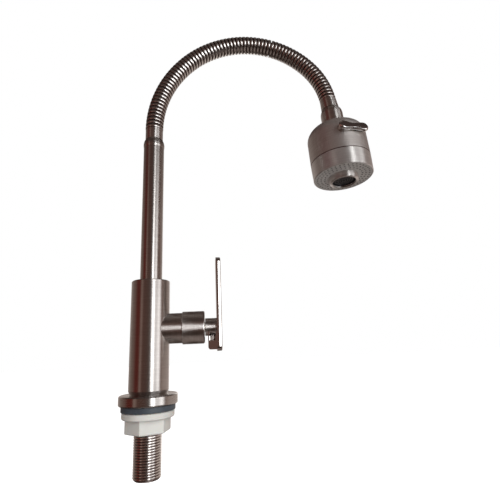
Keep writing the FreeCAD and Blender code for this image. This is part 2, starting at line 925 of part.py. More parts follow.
def swivel_seals():
    """The two seal rings of the swivel, as one node."""
    cord = half("swivel_seal_cord")
    ring_radius = tube_radius - size("swivel_seal_floor_below") / 2
    rings = []
    for index, middle in enumerate(swivel_seal_places(), start=1):
        rings.append(torus("swivel_seal_%d" % index, ring_radius, cord, z=middle))
    group = doc.addObject("Part::Compound", "swivel_seals")
    group.Links = rings
    keep("swivel_seals", group)


def retaining_clip():
    """The open ring that keeps the spout in its socket."""
    low = counterbore_floor + size("worktop_gap")
    fit = size("fit_clearance")
    thick = size("clip_thickness")
    inner = tube_radius - size("clip_groove_depth") + fit
    disc = cylinder("clip_disc", half("clip_diameter"), thick, z=low + fit / 2)
    hole = cylinder("clip_hole", inner, thick + 2, z=low - 1)
    mouth = doc.addObject("Part::Box", "clip_mouth")
    bind(mouth, Length=size("clip_diameter"), Width=size("clip_opening"), Height=thick + 2)
    place_at(mouth, y=-half("clip_opening"), z=low - 1)
    keep("retaining_clip", cut("retaining_clip", disc, fuse("clip_removed", hole, mouth)))


def spout_bush():
    """The plastic bearing sleeve in the column's mouth, close above the clip."""
    inner = tube_radius + size("fit_clearance")
    outer = half("counterbore_diameter") - size("fit_clearance")
    high = column_top - size("bush_gap")
    low = (counterbore_floor + size("clip_thickness") + size("worktop_gap") * 2
           + size("fit_clearance"))
    keep("spout_bush", turn_profile("spout_bush", [
        (inner, low), (outer, low), (outer, high), (inner, high),
    ]))


def spout_tube():
    """The straight upright tube."""
    inner = tube_radius - size("tube_wall")
    keep("spout_tube", turn_profile("spout_tube", [
        (inner, nipple_shoulder), (tube_radius, nipple_shoulder),
        (tube_radius, collar_base), (inner, collar_base),
    ]))


def spout_collar():
    """The rounded collar that closes the tube's top."""
    bulge = tube_radius + size("collar_bulge")
    top_radius = half("ferrule_diameter")
    inner = tube_radius - size("tube_wall") - size("fit_clearance")
    height = size("collar_height")
    body = turn_profile("spout_collar", [
        (inner, collar_base),
        (tube_radius, collar_base),
        (bulge, collar_base + height * 0.2),
        (bulge, collar_base + height * 0.45),
        (bulge - (bulge - top_radius) * 0.35, collar_base + height * 0.75),
        (top_radius, ferrule_base),
        (inner, ferrule_base),
    ])
    keep("spout_collar", body)


def lower_ferrule():
    """The smooth sleeve that the ribbed arm is crimped in, with its spigot below."""
    outer = half("ferrule_diameter")
    spigot = tube_radius - size("tube_wall") - size("fit_clearance") * 2
    seat = half("inner_hose_diameter") + size("fit_clearance")
    waterway = half("inner_hose_bore")
    start = ferrule_base - size("ferrule_spigot_length")
    keep("lower_ferrule", turn_profile("lower_ferrule", [
        (waterway, start), (spigot, start), (spigot, ferrule_base), (outer, ferrule_base),
        (outer, arm_base), (seat, arm_base), (seat, ferrule_base), (waterway, ferrule_base),
    ]))


class Arc:
    """One section of the bent arm: an arc in the XZ plane, of one length and one turn."""

    def __init__(self, start, heading, length, turn):
        self.start = start
        self.heading = heading
        self.length = length
        self.turn = turn
        self.radius = length / turn

    def point(self, distance):
        """The centre line's point, this far along the arc."""
        angle = self.heading + distance / self.radius
        across = self.radius * (math.cos(self.heading) - math.cos(angle))
        along = self.radius * (math.sin(angle) - math.sin(self.heading))
        return self.start + FreeCAD.Vector(across, 0, along)

    def direction(self, distance):
        angle = self.heading + distance / self.radius
        return FreeCAD.Vector(math.sin(angle), 0, math.cos(angle))

    def frame(self, distance):
        """A placement on the arc: Z along it, X steadily across the arm's plane."""
        tangent = self.direction(distance)
        across = FreeCAD.Vector(0, 1, 0)
        turn = FreeCAD.Rotation(across, tangent.cross(across), tangent, "ZXY")
        return FreeCAD.Placement(self.point(distance), turn)


def arm_arcs():
    """The six sections of the arm, each starting where the one before it ends."""
    length = size("rib_pitch").number * size("ribs_in_section").number
    start = FreeCAD.Vector(0, 0, arm_base.number)
    heading = 0.0
    arcs = []
    for index in range(SECTIONS):
        turn = math.radians(size("turn_%d" % (index + 1)).number)
        arc = Arc(start, heading, length, turn)
        arcs.append(arc)
        start = arc.point(length)
        heading += turn
    return arcs


ARCS = arm_arcs()


def bent_pipe(arc, radius, first, last):
    """A plain round bar that follows an arc from one distance to another."""
    circle = Part.makeCircle(radius)
    circle.Placement = arc.frame(first)
    face = Part.Face(Part.Wire(circle))
    centre = arc.point(0) + FreeCAD.Vector(
        arc.radius * math.cos(arc.heading), 0, -arc.radius * math.sin(arc.heading)
    )
    swept = math.degrees((last - first) / arc.radius)
    return face.revolve(centre, FreeCAD.Vector(0, 1, 0), swept)


def hose_section(index):
    """One ribbed section of the arm, with its bore and a half groove at each free end."""
    arc = ARCS[index]
    pitch = size("rib_pitch").number
    groove = half("groove_width").number
    flank = size("rib_flank").number
    crest = half("rib_diameter").number
    root = half("groove_diameter").number
    first = 0.0 if index == 0 else groove
    last = arc.length if index == SECTIONS - 1 else arc.length - groove
    stations = []
    for rib in range(int(size("ribs_in_section").number)):
        near = rib * pitch + groove
        far = (rib + 1) * pitch - groove
        stations += [(near, root), (near + flank, crest), (far - flank, crest), (far, root)]
    stations[0] = (first, root)
    stations[-1] = (last, root)
    circles = []
    for distance, radius in stations:
        circle = Part.makeCircle(radius)
        circle.Placement = arc.frame(distance)
        circles.append(Part.Wire(circle))
    ribbed = Part.makeLoft(circles, True, True)
    bore = bent_pipe(arc, half("arm_bore").number, first - 0.5, last + 0.5)
    item = doc.addObject("Part::Feature", "hose_section_%d" % (index + 1))
    item.Shape = ribbed.cut(bore)
    keep("hose_section_%d" % (index + 1), item)


def inner_hose(index):
    """The water hose inside one section of the arm."""
    arc = ARCS[index]
    groove = half("groove_width").number
    outer = half("inner_hose_diameter").number
    bore = half("inner_hose_bore").number
    first = 0.0 if index == 0 else groove
    last = arc.length if index == SECTIONS - 1 else arc.length - groove
    tube = bent_pipe(arc, outer, first, last)
    waterway = bent_pipe(arc, bore, first - 0.5, last + 0.5)
    tube = tube.cut(waterway)
    if index == 0:
        lap = size("ferrule_length").number
        straight = Part.makeCylinder(outer, lap, FreeCAD.Vector(0, 0, ferrule_base.number))
        bored = Part.makeCylinder(bore, lap, FreeCAD.Vector(0, 0, ferrule_base.number))
        tube = tube.fuse(straight.cut(bored)).removeSplitter()
    item = doc.addObject("Part::Feature", "inner_hose_%d" % (index + 1))
    item.Shape = tube
    keep("inner_hose_%d" % (index + 1), item)


# The ball joint and the head have frames of their own, carried by the arm's end

arm_end = ARCS[-1].point(ARCS[-1].length)
arm_direction = ARCS[-1].direction(ARCS[-1].length)
end_frame = ARCS[-1].frame(ARCS[-1].length)
ball_centre = arm_end + arm_direction * size("ball_reach").number


def head_frame():
    """The spray head's frame: its origin in the face's middle, Z up through the ball."""
    out = math.tan(math.radians(size("head_tilt_out").number))
    side = math.tan(math.radians(size("head_tilt_side").number))
    upward = FreeCAD.Vector(-out, side, 1).normalize()
    turn = FreeCAD.Rotation(
        FreeCAD.Vector(1, 0, 0), FreeCAD.Vector(0, 1, 0), upward, "ZXY"
    )
    return FreeCAD.Placement(ball_centre - upward * size("ball_height").number, turn)


head_place = head_frame()


def on_head(item):
    """Carry a piece from the head's own frame into the tap's."""
    item.Placement = head_place.multiply(item.Placement)
    return item


def around_ball(item):
    """Carry a piece that was made about its own origin to the ball's centre."""
    item.Placement = FreeCAD.Placement(ball_centre, head_place.Rotation)
    return item


def sphere(name, radius, z=0):
    item = doc.addObject("Part::Sphere", name)
    bind(item, Radius=radius)
    return place_at(item, z=z)


def upper_ferrule():
    """The smooth sleeve at the arm's far end, hollowed below to follow the collar."""
    outer = half("upper_ferrule_diameter")
    reach = size("ball_reach")
    web = size("skirt_web")
    sleeve = doc.addObject("Part::Cone", "ferrule_sleeve")
    bind(sleeve, Radius1=outer, Radius2=half("upper_ferrule_flare"), Height=reach)
    hollow = sphere("ferrule_hollow", half("swivel_collar_diameter") + size("skirt_gap"), reach)
    hose_seat = half("inner_hose_diameter") + size("fit_clearance")
    removed = fuse(
        "ferrule_removed",
        hollow,
        cylinder("ferrule_seat", hose_seat, size("skirt_web") + 1, z=-1),
        cylinder("ferrule_stem_bore", half("stem_diameter") + size("fit_clearance"), reach, z=web - 1),
    )
    item = cut("upper_ferrule", sleeve, removed)
    doc.recompute()
    item.Placement = end_frame
    keep("upper_ferrule", item)


def swivel_ball():
    """The hollow ball and its stem, screwed into the arm's end."""
    reach = size("ball_reach")
    stem_start = reach - size("stem_lap")
    stem = cylinder("ball_stem", half("stem_diameter"), size("stem_lap"), z=stem_start)
    solid = fuse("ball_solid", sphere("ball_round", half("ball_diameter"), reach), stem)
    waterway = cylinder("ball_waterway", half("ball_bore"), size("ball_diameter") + reach)
    item = cut("swivel_ball", solid, waterway)
    doc.recompute()
    item.Placement = end_frame
    keep("swivel_ball", item)


def ball_zone(label, low, high):
    """A thin spherical ring on the ball, between two heights above its centre."""
    inner = half("ball_diameter") + size("fit_clearance")
    outer = inner + size("cup_thickness")
    shell = cut(label + "_shell", sphere(label + "_outer", outer), sphere(label + "_inner", inner))
    band = cylinder(label + "_band", outer + 1, high - low, z=low)
    item = doc.addObject("Part::Common", label)
    item.Base = shell
    item.Tool = band
    doc.recompute()
    keep(label, around_ball(item))


def cavity_radius():
    """The radius of the spherical space around the ball and its rings."""
    return half("ball_diameter") + size("cup_thickness") + size("fit_clearance") * 2


def swivel_collar():
    """The domed nut that holds the ball on the head."""
    centre = size("ball_height")
    outer = half("swivel_collar_diameter")
    rim = centre - size("cup_rim_below")
    base = size("head_height")
    mouth_rise = outer + 2
    spread = math.tan(math.radians(size("swivel_collar_mouth").number))
    solid = fuse(
        "collar_solid",
        cylinder("collar_skirt", outer, centre - base, z=base),
        sphere("collar_dome", outer, centre),
    )
    below = cylinder("collar_below", outer + 1, outer + 1, z=base - outer - 1)
    mouth = doc.addObject("Part::Cone", "collar_mouth")
    bind(mouth, Radius1=0.0, Radius2=mouth_rise * spread, Height=mouth_rise)
    place_at(mouth, z=centre)
    neck = half("core_neck_diameter") + size("fit_clearance")
    removed = fuse(
        "collar_removed",
        below,
        mouth,
        sphere("collar_cavity", cavity_radius(), centre),
        cylinder("collar_thread_bore", neck, rim - base + size("fit_clearance") + 1, z=base - 1),
    )
    item = cut("swivel_collar", solid, removed)
    doc.recompute()
    keep("swivel_collar", on_head(item))


def mode_cutter(name, radius, start, length):
    """A bar along the switch's radial axis, in the head's frame."""
    item = doc.addObject("Part::Cylinder", name)
    bind(item, Radius=radius, Height=length)
    item.Placement = mode_frame(start)
    return item


def mode_frame(distance):
    """A placement on the switch's axis: Z radially out, X up, Y round the head."""
    angle = math.radians(size("mode_angle").number)
    outward = FreeCAD.Vector(math.cos(angle), math.sin(angle), 0)
    upward = FreeCAD.Vector(0, 0, 1)
    turn = FreeCAD.Rotation(upward, outward.cross(upward), outward, "ZXY")
    centre = outward * as_size(distance).number
    centre.z = size("mode_height").number
    return FreeCAD.Placement(centre, turn)


def head_core():
    """The inner water guide: ball cup, passage, switch bore and aerator skirt."""
    passage = half("core_passage")
    skirt_in = half("aerator_diameter") + size("fit_clearance")
    skirt_out = skirt_in + size("core_skirt_wall")
    disc = half("core_disc_diameter")
    disc_low = size("core_disc_base")
    disc_high = disc_low + size("core_disc_thickness")
    barrel = half("core_barrel_diameter")
    cap = half("head_shoulder_diameter") - size("shoulder_radius") - size("loose_clearance")
    cap_high = size("head_height") - size("shell_top_wall") - size("fit_clearance")
    cap_low = cap_high - size("core_cap_thickness")
    neck = half("core_neck_diameter")
    rim = size("ball_height") - size("cup_rim_below")
    foot = size("ring_ledge") + size("fit_clearance")
    blank = turn_profile("core_blank", [
        (skirt_in, foot),
        (skirt_out, foot),
        (skirt_out, disc_low),
        (disc, disc_low),
        (disc, disc_high),
        (barrel, disc_high),
        (barrel, cap_low),
        (cap, cap_low),
        (cap, cap_high),
        (neck, cap_high),
        (neck, rim),
        (passage, rim),
        (passage, size("core_skirt_top")),
        (skirt_in, size("core_skirt_top")),
    ])
    bore = half("mode_spindle_diameter") + size("fit_clearance")
    inner = size("mode_spindle_inner_end") - size("fit_clearance")
    removed = fuse(
        "core_removed",
        sphere("core_cup", cavity_radius(), size("ball_height")),
        mode_cutter("core_switch_bore", bore, inner, half("head_seam_diameter")),
        cylinder("core_spray_drill", half("spray_drill_diameter"), skirt_out + 1,
                 z=size("spray_drill_height"), axis="y"),
    )
    item = cut("head_core", blank, removed)
    doc.recompute()
    keep("head_core", on_head(item))


def head_shell():
    """The brushed upper shell of the head, with a rounded shoulder."""
    wall = size("shell_wall")
    seam = half("head_seam_diameter")
    shoulder = half("head_shoulder_diameter")
    top = size("head_height")
    under = top - size("shell_top_wall")
    start = size("seam_height") + size("seam_gap")
    mouth = half("core_neck_diameter") + size("fit_clearance")
    body = turn_profile("shell_blank", [
        (seam - wall, start), (seam, start), (shoulder, top), (mouth, top),
        (mouth, under), (shoulder - wall, under),
    ])
    soften_ring(body, "Fillet", size("shoulder_radius"), shoulder, top)
    soften_ring(body, "Fillet", size("shoulder_radius") - wall, shoulder - wall, under)
    hole = mode_cutter("shell_switch_hole", half("mode_spindle_diameter")
                       + size("loose_clearance"), 1, seam + 1)
    item = cut("head_shell", body, hole)
    doc.recompute()
    keep("head_shell", on_head(item))


def head_ring():
    """The lower ring of the head, spigoted into the shell."""
    face = half("head_face_diameter")
    seam = half("head_seam_diameter")
    lip = size("ring_lip")
    spigot = seam - size("shell_wall") - size("fit_clearance") * 2
    ledge = face - lip - size("ring_ledge_width")
    top = size("seam_height")
    chamfer = size("ring_chamfer")
    body = turn_profile("head_ring", [
        (face - lip, 0),
        (face - chamfer, 0),
        (face, chamfer),
        (seam, top),
        (spigot, top),
        (spigot, top + size("ring_spigot")),
        (ledge, top + size("ring_spigot")),
        (ledge, size("ring_ledge")),
        (face - lip, size("ring_ledge")),
    ])
    keep("head_ring", on_head(body))


def spray_face():
    """The grey face with three rings of spray holes around the aerator."""
    outer = half("head_face_diameter") - size("ring_lip") - size("fit_clearance")
    inner = half("face_bore")
    low = size("face_recess")
    high = size("ring_ledge") - size("fit_clearance")
    body = turn_profile("spray_face", [
        (inner, low), (outer, low), (outer, high), (inner, high),
    ])
    for ring in ("outer", "middle", "inner"):
        hole = drill(body, "spray_hole_" + ring, half("spray_hole_diameter"),
                     size("spray_ring_" + ring), 0, "XY_Plane")
        repeat_round(body, "spray_holes_" + ring, hole, size("holes_" + ring))
    keep("spray_face", on_head(body))


def aerator_housing():
    """The chrome outlet ring in the middle of the face."""
    outer = half("aerator_diameter")
    inner = outer - size("aerator_wall")
    lip = inner - size("aerator_lip")
    low = -size("aerator_drop")
    lip_top = low + size("aerator_lip_height")
    body = turn_profile("aerator_housing", [
        (lip, low), (outer, low), (outer, size("aerator_top")),
        (inner, size("aerator_top")), (inner, lip_top), (lip, lip_top),
    ])
    soften_ring(body, "Fillet", size("aerator_edge_radius"), outer, low)
    keep("aerator_housing", on_head(body))


def aerator_insert():
    """The black outlet insert, with raised rings on its underside."""
    outer = half("aerator_diameter") - size("aerator_wall") - size("fit_clearance")
    low = size("aerator_lip_height") - size("aerator_drop") + size("fit_clearance")
    recess = low + size("insert_recess")
    outline = [(0, size("insert_top")), (0, recess)]
    width = size("insert_ring_width")
    for ring in range(int(size("insert_rings").number)):
        start = size("insert_ring_pitch") * (ring + 1) - width
        outline += [
            (start, recess), (start, low), (start + width, low), (start + width, recess),
        ]
    outline += [
        (outer - width, recess), (outer - width, low), (outer, low), (outer, size("insert_top")),
    ]
    keep("aerator_insert", on_head(turn_profile("aerator_insert", outline)))


def aerator_washer():
    """The rubber washer above the insert."""
    outer = half("aerator_diameter") - size("aerator_wall") - size("fit_clearance")
    inner = half("aerator_washer_bore")
    low = size("insert_top") + size("fit_clearance")
    high = low + size("aerator_washer_thickness")
    keep("aerator_washer", on_head(turn_profile("aerator_washer", [
        (inner, low), (outer, low), (outer, high), (inner, high),
    ])))


def oblong(name, length, width, depth, distance):
    """A bar with round ends across the switch's axis, grown outward from a distance."""
    reach = (length - width) / 2
    ends = []
    for index, side in enumerate((-1, 1)):
        item = doc.addObject("Part::Cylinder", "%s_end_%d" % (name, index + 1))
        bind(item, Radius=width / 2, Height=depth)
        place_at(item, y=reach * side)
        ends.append(item)
    middle = doc.addObject("Part::Box", name + "_middle")
    bind(middle, Length=width, Width=reach * 2, Height=depth)
    place_at(middle, x=-width / 2, y=-reach)
    item = fuse(name, *ends, middle)
    doc.recompute()
    item.Placement = mode_frame(distance)
    return item


def mode_plate():
    """The base of the switch, hollowed to sit on the shell."""
    face = size("mode_plate_face")
    deep = size("shoulder_radius")
    seam = half("head_seam_diameter")
    shoulder = half("head_shoulder_diameter")
    block = oblong("mode_plate_block", size("mode_plate_length"), size("mode_plate_width"),
                   deep, face - deep)
    skin = doc.addObject("Part::Cone", "mode_plate_skin")
    rise = size("head_height") - size("seam_height") - size("seam_gap")
    bind(skin, Radius1=seam + 0.01, Radius2=shoulder + 0.01, Height=rise)
    place_at(skin, z=size("seam_height") + size("seam_gap"))
    hole = mode_cutter("mode_plate_hole", half("mode_spindle_diameter")
                       + size("loose_clearance"), 1, face)
    item = cut("mode_plate", block, fuse("mode_plate_removed", skin, hole))
    doc.recompute()
    keep("mode_plate", on_head(item))


def mode_lever():
    """The chrome two-lobed lever that switches between spray and stream."""
    start = size("mode_plate_face") + size("mode_gap")
    thick = size("mode_lever_thickness")
    lobe = half("mode_lever_width")
    reach = half("mode_lever_length") - lobe
    waist = half("mode_lever_waist")
    lobes = []
    for index, side in enumerate((-1, 1)):
        item = doc.addObject("Part::Cylinder", "mode_lobe_%d" % (index + 1))
        bind(item, Radius=lobe, Height=thick)
        place_at(item, y=reach * side)
        lobes.append(item)
    bridge = doc.addObject("Part::Box", "mode_bridge")
    bind(bridge, Length=waist * 2, Width=reach * 2, Height=thick)
    place_at(bridge, x=-waist, y=-reach)
    blank = fuse("mode_lever_blank", *lobes, bridge)
    doc.recompute()
    rounded = doc.addObject("Part::Fillet", "mode_lever_rounded")
    rounded.Base = blank
    radius = size("mode_lever_edge_radius").number
    rounded.Edges = [
        (index, radius, radius)
        for index, edge in enumerate(blank.Shape.Edges, start=1)
        if edge.BoundBox.ZMin > thick.number - 1e-4
    ]
    doc.recompute()
    rounded.Placement = mode_frame(start)
    keep("mode_lever", on_head(rounded))


def mode_spindle():
    """The switch's spindle, from the lever into the core, with its seal groove."""
    start = size("mode_spindle_inner_end")
    end = size("mode_plate_face") + size("mode_gap")
    radius = half("mode_spindle_diameter")
    cord = size("seal_cord_diameter")
    middle = size("mode_seal_place")
    body = turn_profile("mode_spindle", [
        (0, start),
        (radius, start),
        (radius, middle - cord * 0.7),
        (radius - cord, middle - cord * 0.7),
        (radius - cord, middle + cord * 0.7),
        (radius, middle + cord * 0.7),
        (radius, end),
        (0, end),
    ])
    body.Placement = mode_frame(0)
    keep("mode_spindle", on_head(body))


def mode_seal():
    """The seal ring on the switch's spindle."""
    cord = half("seal_cord_diameter")
    ring = torus("mode_seal", half("mode_spindle_diameter") - cord, cord - 0.01)
    doc.recompute()
    ring.setExpression("Placement.Base.z", None)
    ring.setExpression("Placement.Base.x", None)
    ring.setExpression("Placement.Base.y", None)
    ring.Placement = mode_frame(size("mode_seal_place"))
    keep("mode_seal", on_head(ring))


def build_all():
    threaded_shank()
    base_gasket()
    back_nut()
    base_flange()
    body_column()
    seat_seal()
    cartridge_body()
    ceramic_disc("fixed_disc", cartridge_base)
    ceramic_disc("moving_disc", cartridge_base + size("disc_thickness") + size("disc_gap"))
    valve_spindle()
    spindle_seal()
    bonnet()
    lever_hub()
    lever_plate()
    grub_screw()
    spout_nipple()
    swivel_seals()
    retaining_clip()
    spout_bush()
    spout_tube()
    spout_collar()
    lower_ferrule()
    for index in range(SECTIONS):
        hose_section(index)
        inner_hose(index)
    upper_ferrule()
    swivel_ball()
    ball_zone("ball_washer", size("washer_low"), size("washer_high"))
    ball_zone("ball_seal", -size("ball_seal_low"), -size("ball_seal_high"))
    swivel_collar()
    head_core()
    head_shell()
    head_ring()
    spray_face()
    aerator_housing()
    aerator_insert()
    aerator_washer()
    mode_plate()
    mode_lever()
    mode_spindle()
    mode_seal()


def check_and_write():
    """Stop on any failed object or bad solid, then write one file for each piece."""
    doc.recompute()
    for item in doc.Objects:
        if "Invalid" in item.State or "Error" in item.State:
            raise RuntimeError("%s did not build: %s" % (item.Name, item.State))
    for label, item in parts:
        shape = item.Shape
        if shape.isNull() or not shape.isValid() or not shape.Solids:
            raise RuntimeError("%s has no sound solid" % label)
    os.makedirs("parts", exist_ok=True)
    for label, item in parts:
        item.Shape.exportStep("parts/%s.step" % label)


def print_places():
    """Print the places that a hinge or a mount needs."""
    for index, arc in enumerate(ARCS):
        start = arc.point(0)
        print("arm section %d starts at %.3f, %.3f, %.3f" % (index + 1, start.x, start.y, start.z))
    print("arm ends at %.3f, %.3f, %.3f" % tuple(arm_end))
    print("arm end points along %.5f, %.5f, %.5f" % tuple(arm_direction))
    print("ball centre %.3f, %.3f, %.3f" % tuple(ball_centre))
    upward = head_place.Rotation.multVec(FreeCAD.Vector(0, 0, 1))
    print("head axis %.5f, %.5f, %.5f" % tuple(upward))
    print("face centre %.3f, %.3f, %.3f" % tuple(head_place.Base))
    switch = head_place.multiply(mode_frame(size("mode_plate_face")))
    outward = switch.Rotation.multVec(FreeCAD.Vector(0, 0, 1))
    print("switch at %.3f, %.3f, %.3f" % tuple(switch.Base))
    print("switch axis %.5f, %.5f, %.5f" % tuple(outward))
    print("pieces", len(parts))


build_all()
check_and_write()
print_places()
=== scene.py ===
# %% [markdown]
# # A kitchen tap in brushed steel
#
# This lesson dresses an engineering model of a kitchen tap. The model brings the exact
# shapes of the turned parts, and Blender adds what a camera sees: brushed metal, the wound
# ribs of the bendable arm, the real thread, small spray nozzles and soft light.
# Every length is in metres. Z is up, the worktop is at zero, and the arm reaches along +X.

import json
import math

import bmesh
import bpy
from mathutils import Matrix, Vector


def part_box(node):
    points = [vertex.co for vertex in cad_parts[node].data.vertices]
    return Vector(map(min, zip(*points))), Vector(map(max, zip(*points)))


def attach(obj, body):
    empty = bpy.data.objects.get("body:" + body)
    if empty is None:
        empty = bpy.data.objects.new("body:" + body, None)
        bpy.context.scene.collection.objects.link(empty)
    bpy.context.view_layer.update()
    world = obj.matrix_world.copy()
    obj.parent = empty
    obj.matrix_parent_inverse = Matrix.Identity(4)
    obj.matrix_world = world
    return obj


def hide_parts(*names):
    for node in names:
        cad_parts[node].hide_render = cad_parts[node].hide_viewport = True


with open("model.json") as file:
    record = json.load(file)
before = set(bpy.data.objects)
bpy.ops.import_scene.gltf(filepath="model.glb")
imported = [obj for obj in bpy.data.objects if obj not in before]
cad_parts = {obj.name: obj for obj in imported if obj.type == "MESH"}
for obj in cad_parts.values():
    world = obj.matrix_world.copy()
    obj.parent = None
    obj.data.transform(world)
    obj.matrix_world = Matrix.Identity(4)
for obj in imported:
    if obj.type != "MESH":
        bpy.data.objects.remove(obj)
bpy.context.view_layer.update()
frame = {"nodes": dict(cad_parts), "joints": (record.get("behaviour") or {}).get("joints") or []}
MM = 0.001
joints = {joint["name"]: joint for joint in frame["joints"]}
print("nodes:", len(frame["nodes"]), "joints:", len(joints))

# %% [markdown]
# ## The camera
#
# The photograph was taken from low down, about as high as the lever, looking up past the
# arm. The camera's place was worked out from sizes that are known: the half-inch thread,
# round parts seen as ellipses, and the upright column. Its three directions make the
# columns of its rotation: right, up, and backwards.

# %% Place the camera
CAMERA_AT = Vector((45.6, -316.4, 42.3)) * MM
PITCH, YAW, ROLL = (math.radians(angle) for angle in (14.69, 7.0, 2.70))
FOCAL_PIXELS, PICTURE_WIDTH = 374.1, 500

forward = Vector((
    math.cos(PITCH) * math.sin(YAW),
    math.cos(PITCH) * math.cos(YAW),
    math.sin(PITCH),
))
level_right = Vector((math.cos(YAW), -math.sin(YAW), 0))
level_up = level_right.cross(forward)
right = math.cos(ROLL) * level_right - math.sin(ROLL) * level_up
up = math.cos(ROLL) * level_up + math.sin(ROLL) * level_right

lens = bpy.data.cameras.new("camera")
lens.sensor_width = 36.0
lens.lens = FOCAL_PIXELS / PICTURE_WIDTH * lens.sensor_width
lens.clip_start = 0.01
camera = bpy.data.objects.new("camera", lens)
turn = Matrix((right, up, -forward)).transposed().to_4x4()
camera.matrix_world = Matrix.Translation(CAMERA_AT) @ turn
bpy.context.scene.collection.objects.link(camera)
bpy.context.scene.camera = camera
bpy.context.scene.view_settings.view_transform = "Standard"
print("lens: %.1f mm" % lens.lens)

# %% [markdown]
# ## Node trees written as sums
#
# Nodes can be laid out one by one, but a long tree is easier to read as arithmetic.
# `Wire` wraps one socket, so that `wire * 2 + 1` adds two Math nodes. `Graph.node` adds
# any other node: its settings first, then the values or wires of its sockets.

# %% A small class for node arithmetic
class Wire:
    """One output socket, which can be used in sums."""

    def __init__(self, graph, socket):
        self.graph = graph
        self.socket = socket

    def sibling(self, output):
        """Another output of the same node."""
        return Wire(self.graph, self.socket.node.outputs[output])

    def __add__(self, other):
        return self.graph.maths("ADD", self, other)

    def __radd__(self, other):
        return self.graph.maths("ADD", other, self)

    def __sub__(self, other):
        return self.graph.maths("SUBTRACT", self, other)

    def __rsub__(self, other):
        return self.graph.maths("SUBTRACT", other, self)

    def __mul__(self, other):
        return self.graph.maths("MULTIPLY", self, other)

    def __rmul__(self, other):
        return self.graph.maths("MULTIPLY", other, self)

    def __truediv__(self, other):
        return self.graph.maths("DIVIDE", self, other)

    def __pow__(self, other):
        return self.graph.maths("POWER", self, other)


class Graph:
    """A node tree that is filled by calls."""

    def __init__(self, tree):
        self.tree = tree

    def node(self, kind, settings=None, sockets=None, output=0):
        """Add a node, set it up, fill its sockets, and return one of its outputs."""
        made = self.tree.nodes.new(kind)
        for name, value in (settings or {}).items():
            if name == "stops":
                fill_ramp(made.color_ramp, value)
            else:
                setattr(made, name, value)
        for name, value in (sockets or {}).items():
            if isinstance(value, Wire):
                self.tree.links.new(value.socket, made.inputs[name])
            else:
                made.inputs[name].default_value = value
        return Wire(self, made.outputs[output]) if len(made.outputs) else None

    def maths(self, operation, *values):
        """A Math node on one or two values."""
        return self.node("ShaderNodeMath", {"operation": operation}, dict(enumerate(values)))

    def parts(self, vector):
        """The three numbers of a vector."""
        first = self.node("ShaderNodeSeparateXYZ", None, {0: vector})
        return first, first.sibling(1), first.sibling(2)

    def mix(self, share, *colours):
        """A colour between two colours, each a wire or three numbers."""
        first, second = (
            colour if isinstance(colour, Wire) else (*colour, 1) for colour in colours
        )
        return self.node(
            "ShaderNodeMix", {"data_type": "RGBA"}, {0: share, 6: first, 7: second}, output=2
        )

    def smooth(self, value, low, high):
        """A value that rises from 0 to 1 between two limits."""
        return self.node(
            "ShaderNodeMapRange", {"interpolation_type": "SMOOTHSTEP"}, {0: value, 1: low, 2: high}
        )

    def band(self, value, rise, fall):
        """A value that rises to 1 over the first pair of limits and falls over the second."""
        return self.smooth(value, *rise) * (1 - self.smooth(value, *fall))


def fill_ramp(ramp, stops):
    """Set a colour ramp's stops from pairs of place and colour."""
    while len(ramp.elements) < len(stops):
        ramp.elements.new(0.5)
    for element, (place, colour) in zip(ramp.elements, stops):
        element.position = place
        element.color = (*colour, 1)


def linear(red, green, blue):
    """A colour from 0 to 255, as it reads on a screen, in the renderer's linear light."""
    return tuple(
        part / 12.92 if part <= 0.04045 else ((part + 0.055) / 1.055) ** 2.4
        for part in (red / 255, green / 255, blue / 255)
    )


print("a mid grey in linear light: %.3f" % linear(128, 128, 128)[0])

# %% [markdown]
# ## The room
#
# Bare metal shows the room around it more than itself. The room here is plain: dim warm
# walls with one pale strip far behind on the right, a broad bright window behind the
# camera on its right, a pale bench low on the right, a dark ceiling and a grey floor.
# It could be built from walls and lamps. Ramps around the horizon do the same with less,
# and each part of them can be moved until the bands on the metal lie where they should.
#
# A compass angle is in degrees: 0 is behind the camera, 90 is on its right and 180 is
# behind the tap. A height is the sine of the angle above the horizon.

# %% Describe the room
ROOM = [
    (-180, (150, 141, 136)),
    (-150, (140, 129, 123)),
    (-125, (108, 95, 88)),
    (-98, (96, 74, 67)),
    (-84, (82, 36, 30)),
    (-62, (86, 38, 32)),
    (-56, (128, 110, 101)),
    (-49, (122, 100, 92)),
    (-42, (84, 60, 53)),
    (-12, (80, 62, 56)),
    (4, (92, 84, 80)),
    (67, (112, 92, 84)),
    (85, (108, 88, 80)),
    (125, (132, 120, 114)),
    (146, (150, 141, 136)),
    (154, (236, 231, 227)),
    (168, (236, 231, 227)),
    (176, (150, 141, 136)),
    (180, (150, 141, 136)),
]
WINDOW_GAIN = 5.0
WINDOW = [
    (-180, 0.0), (5, 0.0), (11, 0.5), (14, 0.9), (20, 0.8), (26, 0.26),
    (36, 0.22), (44, 0.3), (50, 0.38), (56, 0.34), (62, 0.12), (68, 0.0), (180, 0.0),
]
WINDOW_SILL, WINDOW_TOP = (-0.34, -0.12), (0.15, 0.38)
BENCH = [(-180, 0.0), (64, 0.0), (84, 1.0), (140, 1.0), (156, 0.0), (180, 0.0)]
BENCH_FOOT, BENCH_TOP = (-0.70, -0.50), (-0.14, 0.02)
BENCH_PAINT = (168, 156, 149)
CEILINGS = [((50, 41, 38), 0.34, 0.62), ((90, 82, 77), 0.90, 0.985)]
FLOORS = [((44, 35, 31), -0.44, -0.24), ((112, 100, 95), -0.99, -0.78)]
ROOM_GAIN = 1.4
print("wall stops:", len(ROOM), "window stops:", len(WINDOW))

